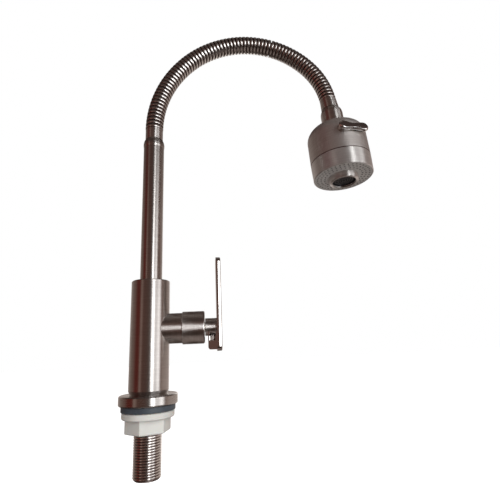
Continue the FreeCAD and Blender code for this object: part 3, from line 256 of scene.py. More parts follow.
# %% Build the room
def ramp_around(graph, bearing, stops):
    """A colour ramp around the horizon, from pairs of compass angle and colour."""
    places = [(angle / 360 + 0.5, colour) for angle, colour in stops]
    return graph.node("ShaderNodeValToRGB", {"stops": places}, {0: bearing})


def share_around(graph, bearing, stops):
    """A share around the horizon, from pairs of compass angle and share."""
    return ramp_around(graph, bearing, [(angle, (share,) * 3) for angle, share in stops])


def build_room():
    """A world that mirrors as a dim room with a window, and looks white to the camera."""
    world = bpy.data.worlds.new("room")
    world.use_nodes = True
    world.node_tree.nodes.clear()
    graph = Graph(world.node_tree)
    across, deep, height = graph.parts(graph.node("ShaderNodeTexCoord"))
    bearing = graph.maths("ARCTAN2", across, deep * -1) / math.tau + 0.5
    bearing = graph.maths("FRACT", bearing - YAW / math.tau)
    seen = ramp_around(graph, bearing, [(angle, linear(*paint)) for angle, paint in ROOM])
    for paint, low, top in CEILINGS:
        seen = graph.mix(graph.smooth(height, low, top), seen, linear(*paint))
    for paint, low, top in FLOORS:
        seen = graph.mix(1 - graph.smooth(height, low, top), seen, linear(*paint))
    bench = share_around(graph, bearing, BENCH) * graph.band(height, BENCH_FOOT, BENCH_TOP)
    seen = graph.mix(bench, seen, linear(*BENCH_PAINT))
    pane = share_around(graph, bearing, WINDOW) * graph.band(height, WINDOW_SILL, WINDOW_TOP)
    seen = graph.mix(pane, seen, (WINDOW_GAIN,) * 3)
    dim = graph.node("ShaderNodeBackground", None, {0: seen, 1: ROOM_GAIN})
    white = graph.node("ShaderNodeBackground", None, {0: (1, 1, 1, 1), 1: 1.0})
    to_camera = graph.node("ShaderNodeLightPath")
    both = graph.node("ShaderNodeMixShader", None, {0: to_camera, 1: dim, 2: white})
    graph.node("ShaderNodeOutputWorld", None, {0: both})
    bpy.context.scene.world = world
    return world


print("room nodes:", len(build_room().node_tree.nodes))

# %% [markdown]
# ## The lamps
#
# Plastic and rubber don't mirror the room, so they need light of their own. Small lamps
# would draw hard spots on the metal. These are broad, and hidden from anything that
# mirrors, so that they light the plastics and leave the metal to the room.

# %% Hang the lamps
def soft_lamp(name, place, target, width, power):
    """A square lamp that lights plastics but isn't mirrored in metal."""
    lamp = bpy.data.lights.new(name, "AREA")
    lamp.size = width
    lamp.energy = power
    item = bpy.data.objects.new(name, lamp)
    item.location = place
    facing = Vector(target) - Vector(place)
    item.rotation_euler = facing.to_track_quat("-Z", "Y").to_euler()
    item.visible_glossy = False
    bpy.context.scene.collection.objects.link(item)


COLUMN_SIDE, ARM_MIDDLE = (0.05, 0, 0.1), (0.1, 0, 0.2)
soft_lamp("window_light", (0.5, -0.9, 0.6), COLUMN_SIDE, width=0.7, power=7)
soft_lamp("fill_light", (-0.7, -0.7, 0.3), COLUMN_SIDE, width=0.8, power=3.6)
soft_lamp("floor_bounce", (0.2, -0.3, -0.15), ARM_MIDDLE, width=0.5, power=0.8)
soft_lamp("back_light", (0.1, 0.9, 0.7), COLUMN_SIDE, width=0.9, power=4)
print("lamps:", len(bpy.data.lights))

# %% [markdown]
# ## Finishes
#
# Every finish starts from one principled shader. Its even values are set on the shader's
# own sockets, and patterns feed only its colour, roughness and bump. The patterns read
# places on the piece itself, so that they stay put when the piece moves. Images could do
# this too, but noise needs no files and is sharp at any distance.

# %% Helpers for finishes
def new_finish(name, colour, roughness, metallic=0.0, **constants):
    """A material with one principled shader; returns it with its graph and its shader."""
    material = bpy.data.materials.new(name)
    material.use_nodes = True
    tree = material.node_tree
    shader = tree.nodes["Principled BSDF"]
    constants.update(base_color=(*colour, 1), roughness=roughness, metallic=metallic)
    for label, value in constants.items():
        socket = label.replace("_", " ").title().replace("Ior", "IOR")
        shader.inputs[socket].default_value = value
    return material, Graph(tree), shader


def feed(graph, node, socket, wire):
    """Link a wire to a socket of a node."""
    graph.tree.links.new(wire.socket, node.inputs[socket])


def feed_bump(graph, shader, strength, distance, height):
    """Feed a shader's normal with a bump."""
    bump = graph.node("ShaderNodeBump", None, {
        "Strength": strength, "Distance": distance, "Height": height,
    })
    feed(graph, shader, "Normal", bump)


def object_place(graph):
    """The point on the piece, in metres."""
    return graph.node("ShaderNodeTexCoord", output=3)


def noise(graph, place, grain, detail=3.0):
    """Noise with its own grain size along each axis, as marks to the metre."""
    scaled = graph.node("ShaderNodeMapping", None, {0: place, 3: grain})
    return graph.node("ShaderNodeTexNoise", None, {
        "Vector": scaled, "Scale": 1.0, "Detail": detail,
    })


def darker(colour, share):
    """A colour with its light cut to a share."""
    return tuple(part * share for part in colour)


def dress(material, *names):
    """Give engineering nodes a finish."""
    for name in names:
        slots = frame["nodes"][name].data.materials
        if not slots:
            slots.append(material)
        for place in range(len(slots)):
            slots[place] = material
    print(material.name, "on:", *names)


# %% [markdown]
# ## The floor
#
# The tap hangs in plain white in the photograph, as if a worktop held it. White all
# round would do, but a pale floor well below gives the tap a place in every view. It
# glows evenly, so that no edge of it shows, and nothing on the tap is lit by it or
# mirrors it.

# %% Lay the floor
FLOOR_HEIGHT, FLOOR_REACH = -0.22, 8.0


def plain_floor(height, reach):
    """A square of pale floor that the tap neither mirrors nor takes light from."""
    mesh = bpy.data.meshes.new("floor")
    corners = [(-reach, -reach, height), (reach, -reach, height),
               (reach, reach, height), (-reach, reach, height)]
    mesh.from_pydata(corners, [], [(0, 1, 2, 3)])
    floor = bpy.data.objects.new("floor", mesh)
    bpy.context.scene.collection.objects.link(floor)
    floor.visible_glossy = False
    floor.visible_diffuse = False
    paint = new_finish(
        "floor_paint", (0.9, 0.9, 0.9), 1.0, emission_color=(1, 1, 1, 1), emission_strength=1.0
    )
    mesh.materials.append(paint[0])
    return floor


floor = plain_floor(FLOOR_HEIGHT, FLOOR_REACH)
print("floor:", floor.name, "at height", FLOOR_HEIGHT)

# %% [markdown]
# ## Brushed steel
#
# Steel for taps is ground on a belt while it turns, which leaves fine lines around it.
# They could be cut into the mesh, but they are far finer than a pixel. So most of the
# look comes from roughness and from highlights that stretch across the lines, and only
# a faint bump and a few wider marks show. The lay of the marks says how many there are
# to the metre along each axis, and how far the stretch is turned.

# %% A recipe for brushed steel
UPRIGHT = ((240, 240, 5200), 0.25)
SIDEWAYS = ((5200, 240, 240), 0.0)
LOOSE = ((400, 400, 3000), 0.0)
WIDER, WIDE_WEIGHT, FINE_WEIGHT = 0.22, 0.55, 0.45
TONE_FROM, TONE_TO, DULL = 0.32, 0.68, 0.86
SMUDGES = (38, 38, 38)
LINE_SWING, SMUDGE_SWING = 0.10, 0.12
MARK_HEIGHT = 0.06 * MM


def brush(graph, shader, colour, roughness, lay, depth):
    """Feed one shader with grinding marks and smudges."""
    place = object_place(graph)
    lines = noise(graph, place, lay[0])
    wide_lines = noise(graph, place, tuple(part * WIDER for part in lay[0]), detail=2.0)
    smudges = noise(graph, place, SMUDGES)
    marks = wide_lines * WIDE_WEIGHT + lines * FINE_WEIGHT
    tone = graph.smooth(marks, TONE_FROM, TONE_TO)
    feed(graph, shader, "Base Color", graph.mix(tone, darker(colour, DULL), colour))
    rough = roughness + (lines - 0.5) * LINE_SWING + (smudges - 0.5) * SMUDGE_SWING
    feed(graph, shader, "Roughness", rough)
    feed_bump(graph, shader, depth, MARK_HEIGHT, lines + wide_lines)


def brushed_steel(name, colour, roughness, lay, depth, stretch=0.0, metallic=1.0):
    """Ground steel, with marks of a given lay and depth."""
    material, graph, shader = new_finish(
        name, colour, roughness, metallic, anisotropic=stretch, anisotropic_rotation=lay[1]
    )
    brush(graph, shader, colour, roughness, lay, depth)
    return material


print("lays:", UPRIGHT, SIDEWAYS, LOOSE)

# %% Brush the tube, the collars and the head
STEEL = (0.66, 0.635, 0.615)
STRETCH = 0.9

tube_steel = brushed_steel("tube_steel", STEEL, 0.29, UPRIGHT, 0.10, STRETCH)
turned_bright = brushed_steel("turned_bright", (0.65, 0.63, 0.61), 0.26, UPRIGHT, 0.05, 0.92)
collar_steel = brushed_steel("collar_steel", (0.86, 0.84, 0.82), 0.32, UPRIGHT, 0.02, 0.95)
outlet_steel = brushed_steel("outlet_steel", (0.90, 0.88, 0.86), 0.42, UPRIGHT, 0.02, 0.95)
head_steel = brushed_steel("head_steel", (0.76, 0.73, 0.71), 0.50, UPRIGHT, 0.10, 0.4, 0.94)
ring_steel = brushed_steel("ring_steel", (0.80, 0.78, 0.765), 0.40, UPRIGHT, 0.08, 0.95, 0.88)
wire_steel = brushed_steel("wire_steel", (0.60, 0.575, 0.55), 0.24, LOOSE, 0.08)
dress(tube_steel, "spout_tube")
dress(turned_bright, "base_flange", "spout_collar")
dress(collar_steel, "lower_ferrule", "upper_ferrule", "swivel_collar")
dress(outlet_steel, "aerator_housing")
dress(head_steel, "head_shell")
dress(ring_steel, "head_ring")
dress(wire_steel, "mode_plate", "grub_screw", "retaining_clip")

# %% [markdown]
# ## The column and its side branch
#
# The column is ground around its upright axis, and the neck welded to it around its own
# level axis. Both are one piece in the engineering model. It could be cut in two, but a
# second shader is simpler: it takes over wherever the surface lies outside the column's
# radius. The bonnet and the lever's hub carry the same finish as the neck.

# %% Brush the column and the branch
COLUMN_RADIUS = 15.5 * MM
WELD_START, WELD_END = 0.03 * MM, 0.3 * MM
BRANCH_FINISH = ((0.88, 0.855, 0.835), 0.35, SIDEWAYS, 0.05)


def column_and_neck(name, axis_radius):
    """Steel ground around the column, and around the branch outside its radius."""
    material = brushed_steel(name, STEEL, 0.31, UPRIGHT, 0.10, STRETCH)
    nodes = material.node_tree.nodes
    graph = Graph(material.node_tree)
    upright = Wire(graph, nodes["Principled BSDF"].outputs[0])
    sideways = graph.node(
        "ShaderNodeBsdfPrincipled", None, {"Metallic": 1.0, "Anisotropic": STRETCH}
    )
    brush(graph, sideways.socket.node, *BRANCH_FINISH)
    across, deep = graph.parts(object_place(graph))[:2]
    from_axis = graph.maths("SQRT", across * across + deep * deep)
    outside = graph.smooth(from_axis, axis_radius + WELD_START, axis_radius + WELD_END)
    both = graph.node("ShaderNodeMixShader", None, {0: outside, 1: upright, 2: sideways})
    feed(graph, nodes["Material Output"], "Surface", both)
    return material


dress(column_and_neck("column_steel", COLUMN_RADIUS), "body_column")
dress(brushed_steel("branch_steel", *BRANCH_FINISH, STRETCH), "bonnet", "lever_hub")

# %% [markdown]
# ## The lever's bright plate
#
# The lever is a flat plate, ground bright. Seen from the front it is only its narrow
# edge, which has a low ridge along it, so that one half mirrors the window and the other
# the dim wall. The ridge is too low to model, so a bump with the shape of a roof tilts
# the light instead. It runs up the edge, a little way in from the plate's outer face.

# %% Grind the lever plate
RIDGE_INSET, RIDGE_ROUNDING, RIDGE_SLOPE = 2.4 * MM, 0.2 * MM, 0.16
PLATE_GRAIN = (3600, 3600, 160)
PLATE_MARKS = 0.002 * MM


def ridged_plate(name, colour, roughness, ridge_at):
    """A bright plate across X whose narrow edges are ground to a low ridge."""
    material, graph, shader = new_finish(name, colour, roughness, 1.0)
    place = object_place(graph)
    lines = noise(graph, place, PLATE_GRAIN)
    feed(graph, shader, "Base Color", graph.mix(lines, darker(colour, DULL), colour))
    feed(graph, shader, "Roughness", roughness + (lines - 0.5) * LINE_SWING)
    away = graph.parts(place)[0] - ridge_at
    roof = graph.maths("SQRT", away * away + RIDGE_ROUNDING ** 2) * -RIDGE_SLOPE
    feed_bump(graph, shader, strength=1.0, distance=1.0, height=roof + lines * PLATE_MARKS)
    return material


plate_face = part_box("lever_plate")[1][0]
plate_steel = ridged_plate("plate_steel", (0.82, 0.80, 0.78), 0.16, plate_face - RIDGE_INSET)
dress(plate_steel, "lever_plate")

# %% [markdown]
# ## Chrome and brass
#
# The switch lever is chromed, and the parts that turn inside are brass. Neither has
# grinding lines. What tells them from a perfect mirror is faint wiping marks and a
# little tarnish, so noise that is long one way changes their colour and roughness.

# %% Polish the chrome and the brass
WIPES, SPECKS = (60, 90, 240), (900, 900, 900)
WIPE_MIDDLE, WIPE_WEIGHT, WIPE_BUMP = 0.4, 0.5, 0.05
TARNISH_FROM, TARNISH_TO, TARNISHED = 0.45, 0.85, 0.82
WIPE_HEIGHT = 0.05 * MM


def polished(name, colour, roughness, wear):
    """Bright metal with faint wiping marks and a little tarnish."""
    material, graph, shader = new_finish(name, colour, roughness, 1.0)
    place = object_place(graph)
    wipes = noise(graph, place, WIPES, detail=4.0)
    specks = noise(graph, place, SPECKS, detail=2.0)
    tarnish = graph.smooth(wipes, TARNISH_FROM, TARNISH_TO)
    feed(graph, shader, "Base Color", graph.mix(tarnish, colour, darker(colour, TARNISHED)))
    feed(graph, shader, "Roughness", roughness + (wipes - WIPE_MIDDLE) * wear)
    feed_bump(graph, shader, WIPE_BUMP, WIPE_HEIGHT, specks + wipes * WIPE_WEIGHT)
    return material


chrome = polished("chrome", (0.86, 0.86, 0.86), 0.05, 0.04)
brass = polished("brass", (0.72, 0.52, 0.24), 0.28, 0.16)
dress(brass, "cartridge_body", "valve_spindle", "spout_nipple", "swivel_ball", "mode_spindle")

# %% [markdown]
# ## Grooved steel
#
# Between the arm's ribs and in the thread, the steel's colour is darkened as painted shade,
# which grows with the depth of the groove. A search for hollows could find these places. The
# trees that make the ribs and the thread know them already: they store how deep each point
# lies in its groove, as the first number of its UV map, and this finish reads it.

# %% Paint shade into the grooves
GROOVE_WIPES = (160, 160, 160)
STRAY, WIPE_SWING, GROOVE_ROUGHNESS = 0.2, 0.12, 0.15


def grooved_steel(name, colour, shade_paint, roughness, unshaded, fully_shaded):
    """Steel with painted shade where its groove deepens from its unshaded to its fully shaded
    share.
    """
    material, graph, shader = new_finish(name, colour, roughness, 1.0)
    edge = graph.parts(graph.node("ShaderNodeTexCoord", output=2))[0]
    wipes = noise(graph, object_place(graph), GROOVE_WIPES)
    # Painted shade: the colour darkens toward the bottom of each groove, and roughness rises
    # there.
    groove_shade = graph.smooth(edge + (wipes - 0.5) * STRAY, unshaded, fully_shaded)
    feed(graph, shader, "Base Color", graph.mix(groove_shade, colour, shade_paint))
    rough = roughness + (wipes - 0.5) * WIPE_SWING + groove_shade * GROOVE_ROUGHNESS
    feed(graph, shader, "Roughness", rough)
    return material


# Both finishes paint shade into their grooves: grey-brown in the thread, near black between the
# ribs.
thread_steel = grooved_steel(
    "thread_steel", (0.80, 0.775, 0.755), (0.32, 0.27, 0.255), 0.16, unshaded=0.62, fully_shaded=0.95
)
rib_steel = grooved_steel(
    "rib_steel", (0.72, 0.70, 0.68), (0.075, 0.04, 0.033), 0.26, unshaded=0.42, fully_shaded=0.86
)
print("grooved:", thread_steel.name, rib_steel.name)

# %% [markdown]
# ## Plastic, rubber and ceramic
#
# The nut, the spray face and the seals are moulded, and the valve's discs are fired.
# Their skins are even, with fine pits and colours that change slowly. One recipe makes
# them all, with its own two colours, roughness and number of pits to the metre for each.

# %% Mould the plastics and the rubbers
CLOUDS, CLOUD_FROM, CLOUD_TO = (60, 60, 60), 0.35, 0.7
PIT_SWING, PIT_BUMP, PIT_HEIGHT = 0.18, 0.18, 0.12 * MM


def moulded(name, colour, shade, roughness, pits_to_metre, **constants):
    """Moulded plastic or rubber: fine pitted skin, with slow colour change."""
    material, graph, shader = new_finish(name, colour, roughness, **constants)
    place = object_place(graph)
    pits = noise(graph, place, (pits_to_metre,) * 3)
    cloud = graph.smooth(noise(graph, place, CLOUDS), CLOUD_FROM, CLOUD_TO)
    feed(graph, shader, "Base Color", graph.mix(cloud, colour, shade))
    feed(graph, shader, "Roughness", roughness + (pits - 0.5) * PIT_SWING)
    feed_bump(graph, shader, PIT_BUMP, PIT_HEIGHT, pits)
    return material


nut_plastic = moulded(
    "nut_plastic", (0.60, 0.59, 0.56), (0.55, 0.53, 0.50), 0.38, 500,
    subsurface_weight=0.08, specular_ior_level=0.4,
)
gasket_rubber = moulded("gasket_rubber", (0.040, 0.050, 0.062), (0.055, 0.068, 0.082), 0.5, 900)
seal_rubber = moulded("seal_rubber", (0.02, 0.02, 0.02), (0.03, 0.03, 0.03), 0.5, 900)
hose_rubber = moulded("hose_rubber", (0.05, 0.05, 0.052), (0.07, 0.07, 0.07), 0.5, 600)
ceramic = moulded("ceramic", (0.82, 0.81, 0.78), (0.79, 0.78, 0.75), 0.15, 300)
bearing_plastic = moulded("bearing_plastic", (0.75, 0.75, 0.73), (0.7, 0.7, 0.68), 0.4, 500)
core_plastic = moulded("core_plastic", (0.10, 0.10, 0.105), (0.13, 0.13, 0.13), 0.5, 500)
face_plastic = moulded("face_plastic", (0.56, 0.545, 0.525), (0.50, 0.485, 0.465), 0.5, 1500)
nozzle_rubber = moulded("nozzle_rubber", (0.03, 0.03, 0.03), (0.05, 0.05, 0.05), 0.6, 1500)
black_plastic = moulded("black_plastic", (0.028, 0.028, 0.032), (0.036, 0.036, 0.04), 0.3, 900)

# %% Dress the moulded parts
dress(nut_plastic, "back_nut")
dress(gasket_rubber, "base_gasket")
dress(seal_rubber, "seat_seal", "spindle_seal", "swivel_seals")
dress(seal_rubber, "ball_seal", "aerator_washer", "mode_seal")
dress(hose_rubber, *("inner_hose_%d" % number for number in range(1, 7)))
dress(ceramic, "fixed_disc", "moving_disc")
dress(bearing_plastic, "spout_bush", "ball_washer")
dress(core_plastic, "head_core")
dress(face_plastic, "spray_face")
dress(black_plastic, "aerator_insert")
print("finishes:", len(bpy.data.materials))

# %% [markdown]
# ## The ribbed arm
#
# The bendable arm is wound from a steel strip, so its outside is a row of broad round ribs
# with dark grooves between. Rings could be modelled and set out by hand, but they follow
# a rule, so one Geometry Nodes tree makes a section: a line of points is bent into an
# arc, a swelling radius makes the ribs, and a circle is swept along it. Its inputs are
# real sizes, so the same tree makes all six sections.

# %% Helpers for geometry trees
def geometry_graph(name, inputs):
    """An empty geometry tree with named inputs; returns it and its inputs as wires."""
    tree = bpy.data.node_groups.new(name, "GeometryNodeTree")
    tree.interface.new_socket("Geometry", in_out="OUTPUT", socket_type="NodeSocketGeometry")
    for label, kind in inputs:
        tree.interface.new_socket(label, in_out="INPUT", socket_type="NodeSocket" + kind)
    graph = Graph(tree)
    entry = graph.node("NodeGroupInput")
    return graph, {label: entry.sibling(label) for label, kind in inputs}


def end_tree(graph, geometry, material):
    """Close a tree: real geometry, smooth faces and its material."""
    real = graph.node("GeometryNodeRealizeInstances", None, {0: geometry})
    smooth = graph.node("GeometryNodeSetShadeSmooth", None, {0: real})
    dressed = graph.node("GeometryNodeSetMaterial", None, {0: smooth, "Material": material})
    graph.node("NodeGroupOutput", None, {0: dressed})
    return graph.tree


def grow(name, tree, values):
    """Run a tree with its inputs set, and return the result as a plain object."""
    carrier = bpy.data.objects.new(name + "_tree", bpy.data.meshes.new(name + "_tree"))
    bpy.context.scene.collection.objects.link(carrier)
    modifier = carrier.modifiers.new("nodes", "NODES")
    modifier.node_group = tree
    for item in tree.interface.items_tree:
        if item.item_type == "SOCKET" and item.in_out == "INPUT":
            modifier[item.identifier] = values[item.name]
    evaluated = carrier.evaluated_get(bpy.context.evaluated_depsgraph_get())
    mesh = bpy.data.meshes.new_from_object(evaluated)
    mesh.name = name
    carrier.modifiers.remove(modifier)
    bpy.data.objects.remove(carrier)
    made = bpy.data.objects.new(name, mesh)
    bpy.context.scene.collection.objects.link(made)
    return made


# %% Bend a line and chart a surface
def bend_line(graph, given, distance):
    """A line of points, bent into an arc that starts at a place with a heading."""
    line = graph.node("GeometryNodeCurvePrimitiveLine", None, {"End": (0, 0, 1)})
    points = graph.node("GeometryNodeResampleCurve", None, {
        "Curve": line, "Count": given["Points"],
    })
    heading = given["Heading"]
    radius = given["Length"] / given["Turn"]
    angle = heading + distance / radius
    across = radius * (graph.maths("COSINE", heading) - graph.maths("COSINE", angle))
    along = radius * (graph.maths("SINE", angle) - graph.maths("SINE", heading))
    offset = graph.node("ShaderNodeCombineXYZ", None, {0: across, 2: along})
    place = graph.node("ShaderNodeVectorMath", None, {0: given["Start"], 1: offset})
    return graph.node("GeometryNodeSetPosition", None, {"Geometry": points, "Position": place})


def store_chart(graph, geometry, value):
    """Keep a value as the first number of the UV map."""
    return graph.node(
        "GeometryNodeStoreNamedAttribute", {"data_type": "FLOAT2", "domain": "CORNER"}, {
            "Geometry": geometry, "Name": "UVMap",
            "Value": graph.node("ShaderNodeCombineXYZ", None, {0: value}),
        },
    )


# %% A tree for one ribbed section
HAIR = 0.001 * MM
TIP_REACH, TIP_POINT = 0.99, 0.1 * MM
SHOULDER, CROWN = 4.0, 0.25
STEPS_ROUND_RIB = 48


def rib_tree():
    """A section with its ribs: a sweep along an arc in the XZ plane, with a round tip."""
    graph, given = geometry_graph("ribbed_section", [
        ("Start", "Vector"), ("Heading", "Float"), ("Turn", "Float"), ("Length", "Float"),
        ("From", "Float"), ("To", "Float"), ("Pitch", "Float"), ("Tip", "Float"),
        ("Crest", "Float"), ("Groove", "Float"), ("Points", "Int"), ("Finish", "Material"),
    ])
    start, end, length, tip = (given[label] for label in ("From", "To", "Length", "Tip"))
    share = graph.node("GeometryNodeSplineParameter")
    past_end = graph.maths("MAXIMUM", end, length + tip * TIP_REACH)
    last = end + (past_end - end) * graph.maths("GREATER_THAN", tip, 0.0)
    distance = start + share * (last - start)
    bent = bend_line(graph, given, distance)
    beat = graph.maths("FRACT", distance / given["Pitch"])
    edge = graph.maths("ABSOLUTE", beat * 2 - 1)
    swell = graph.maths("SQRT", 1 - edge ** SHOULDER) * (1 - edge ** 2.0 * CROWN)
    width = given["Groove"] + (given["Crest"] - given["Groove"]) * swell
    beyond = graph.maths("GREATER_THAN", distance, end + HAIR)
    ball = graph.maths("MAXIMUM", TIP_POINT ** 2, tip ** 2.0 - (distance - length) ** 2.0)
    width = width + (graph.maths("SQRT", ball) - width) * beyond
    marked = graph.node("GeometryNodeStoreNamedAttribute", {"data_type": "FLOAT"}, {
        "Geometry": bent, "Name": "edge", "Value": edge,
    })
    circle = graph.node("GeometryNodeCurvePrimitiveCircle", None, {
        "Resolution": STEPS_ROUND_RIB, "Radius": 1.0,
    })
    skin = graph.node("GeometryNodeCurveToMesh", None, {
        "Curve": marked, "Profile Curve": circle, "Scale": width, "Fill Caps": True,
    })
    carried = graph.node("GeometryNodeInputNamedAttribute", {"data_type": "FLOAT"}, {
        "Name": "edge",
    })
    return end_tree(graph, store_chart(graph, skin, carried), given["Finish"])


ribs = rib_tree()
print("nodes in the rib tree:", len(ribs.nodes))

# %% [markdown]
# The arm's bend is not one arc: it tightens toward the head. Each section turns by its own
# angle, and each starts where the last one ends. A ball-shaped tip, hidden in the next
# section and centred on the hinge between them, closes the groove that they share.

# %% Grow the six sections
RIB_PITCH = 3.64 * MM
RIBS = 12
SECTION = RIB_PITCH * RIBS
TURNS = [23.4, 24.0, 27.4, 30.3, 30.6, 36.7]
ARM_BASE = 242.0 * MM
HALF_GROOVE = 0.5 * MM
RIB_CREST, RIB_GROOVE, TIP_RADIUS = 8.05 * MM, 7.1 * MM, 6.2 * MM
POINTS_PER_RIB = 24


def arm_starts():
    """Where each section starts, and how far it leans there."""
    place, heading, starts = Vector((0, 0, ARM_BASE)), 0.0, []
    for degrees in TURNS:
        starts.append((place.copy(), heading))
        radius = SECTION / math.radians(degrees)
        after = heading + math.radians(degrees)
        place += Vector((
            radius * (math.cos(heading) - math.cos(after)), 0,
            radius * (math.sin(after) - math.sin(heading)),
        ))
        heading = after
    return starts


for number, (place, heading) in enumerate(arm_starts(), start=1):
    is_last = number == len(TURNS)
    section = grow("ribs_%d" % number, ribs, {
        "Start": place, "Heading": heading, "Turn": math.radians(TURNS[number - 1]),
        "Length": SECTION,
        "From": 0.0 if number == 1 else HALF_GROOVE,
        "To": SECTION if is_last else SECTION - HALF_GROOVE,
        "Tip": 0.0 if is_last else TIP_RADIUS,
        "Pitch": RIB_PITCH, "Crest": RIB_CREST, "Groove": RIB_GROOVE,
        "Points": RIBS * POINTS_PER_RIB + 1, "Finish": rib_steel,
    })
    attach(section, "spout" if number == 1 else "hose_%d" % number)
    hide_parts("hose_section_%d" % number)
print("ribs:", RIBS * len(TURNS), "faces in the last section:", len(section.data.polygons))

# %% [markdown]
# ## The inlet thread
#
# The shank has a half-inch pipe thread, 14 turns to the inch. Closed rings would be
# simpler, but a groove that really climbs catches the light in its own way. The tree
# bends a flat grid round into a tube, and moves each point in or out by where it lies in
# its turn of the helix.

# %% A tree for the thread
STEPS_ROUND_SHANK = 64
GROOVE_EDGE, GROOVE_FLOOR = 0.40, 0.94
THREAD_FADE = 4.0 * MM


def thread_tree():
    """A tube with a climbing groove that fades out at its top."""
    graph, given = geometry_graph("pipe_thread", [
        ("Crest", "Float"), ("Depth", "Float"), ("Pitch", "Float"), ("Low", "Float"),
        ("High", "Float"), ("Chamfer", "Float"), ("Rows", "Int"), ("Finish", "Material"),
    ])
    crest, low, high = (given[label] for label in ("Crest", "Low", "High"))
    grid = graph.node("GeometryNodeMeshGrid", None, {
        "Vertices X": STEPS_ROUND_SHANK + 1, "Vertices Y": given["Rows"],
    })
    around, rise = graph.parts(grid.sibling("UV Map"))[:2]
    height = low + rise * (high - low)
    climb = height - low
    beat = graph.maths("FRACT", climb / given["Pitch"] - around)
    edge = graph.maths("ABSOLUTE", beat * 2 - 1)
    cut = graph.smooth(edge, GROOVE_EDGE, GROOVE_FLOOR)
    fade = graph.smooth(high - height, 0.0, THREAD_FADE)
    nose = crest - given["Chamfer"] + climb
    radius = graph.maths("MINIMUM", crest - given["Depth"] * cut * fade, nose)
    angle = around * math.tau
    place = graph.node("ShaderNodeCombineXYZ", None, {
        0: radius * graph.maths("COSINE", angle),
        1: radius * graph.maths("SINE", angle),
        2: height,
    })
    marked = store_chart(graph, grid, edge * fade)
    rolled = graph.node("GeometryNodeSetPosition", None, {"Geometry": marked, "Position": place})
    welded = graph.node("GeometryNodeMergeByDistance", None, {
        "Geometry": rolled, "Distance": HAIR,
    })
    return end_tree(graph, welded, given["Finish"])


threading = thread_tree()
print("nodes in the thread tree:", len(threading.nodes))

# %% Cut the thread
CREST, THREAD_DEPTH, THREAD_PITCH, CHAMFER = 10.4775 * MM, 1.16 * MM, 1.814 * MM, 1.2 * MM
SHANK_FOOT, THREAD_TOP = -47.3 * MM, 0.5 * MM
THREAD_ROWS = 400

shank = grow("inlet_shank", threading, {
    "Crest": CREST, "Depth": THREAD_DEPTH, "Pitch": THREAD_PITCH, "Chamfer": CHAMFER,
    "Low": SHANK_FOOT, "High": THREAD_TOP, "Rows": THREAD_ROWS, "Finish": thread_steel,
})
print("thread faces:", len(shank.data.polygons))

# %% [markdown]
# The tree makes only the threaded outside. The smooth stretch above it, the spigot, the
# bore and the flat foot are one profile turned round the axis, and welded to the thread
# along both rims, so that the shank is one closed piece.

# %% Turn the rest of the shank
RELIEVED, SPIGOT, BORE = 10.2775 * MM, 9.0 * MM, 7.0 * MM
RELIEF_TOP, SPIGOT_FOOT, SHANK_TOP = 0.8 * MM, 11.5 * MM, 23.5 * MM
SHARP_ANGLE = 40


def turned_sleeve(mesh, profile, segments):
    """Add a ring of faces to a mesh for each pair of (radius, height) points."""
    rings = []
    for radius, height in profile:
        rings.append([
            mesh.verts.new((
                radius * math.cos(math.tau * step / segments),
                radius * math.sin(math.tau * step / segments),
                height,
            ))
            for step in range(segments)
        ])
    for near, far in zip(rings, rings[1:]):
        for step in range(segments):
            after = (step + 1) % segments
            mesh.faces.new((near[step], near[after], far[after], far[step]))


whole = bmesh.new()
whole.from_mesh(shank.data)
turned_sleeve(whole, [
    (CREST, THREAD_TOP), (RELIEVED, RELIEF_TOP),
    (RELIEVED, SPIGOT_FOOT), (SPIGOT, SPIGOT_FOOT), (SPIGOT, SHANK_TOP),
    (BORE, SHANK_TOP), (BORE, SHANK_FOOT), (CREST - CHAMFER, SHANK_FOOT),
], STEPS_ROUND_SHANK)
bmesh.ops.remove_doubles(whole, verts=whole.verts, dist=2 * HAIR)
bmesh.ops.recalc_face_normals(whole, faces=whole.faces)
open_edges = sum(1 for edge in whole.edges if len(edge.link_faces) != 2)
whole.to_mesh(shank.data)
whole.free()
shank.data.set_sharp_from_angle(angle=math.radians(SHARP_ANGLE))
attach(shank, "column")
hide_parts("threaded_shank")
print("shank faces:", len(shank.data.polygons), "open edges:", open_edges)

# %% [markdown]
# ## The head's own frame
#
# The head hangs at a slight lean. Its parts could be modelled where they hang, but it is
# easier to make them upright and to move them by one matrix, worked out from the joint
# that lets the head spin. The same frame places a thin line of painted shade, dark brown,
# along the seam between the head's two rings.

# %% Find the head's own frame
BALL = Vector(joints["head_spin"]["pos_m"])
HEAD_UP = Vector(joints["head_spin"]["axis"]).normalized()
BALL_ABOVE_FACE = 69.0 * MM
FACE_MIDDLE = BALL - HEAD_UP * BALL_ABOVE_FACE

side = (Vector((1, 0, 0)) - HEAD_UP * HEAD_UP.x).normalized()
head_turn = Matrix((side, HEAD_UP.cross(side), HEAD_UP)).transposed().to_4x4()
head_place = Matrix.Translation(FACE_MIDDLE) @ head_turn
print("face middle:", [round(part / MM, 1) for part in FACE_MIDDLE])

# %% Darken the head's seam
SEAM_HEIGHT, SEAM_HALF_WIDTH, SEAM_CORE = 16.2 * MM, 0.6 * MM, 0.3
# The dark brown colour of the shade painted along the seam.
SEAM_SHADE = (0.10, 0.06, 0.05)


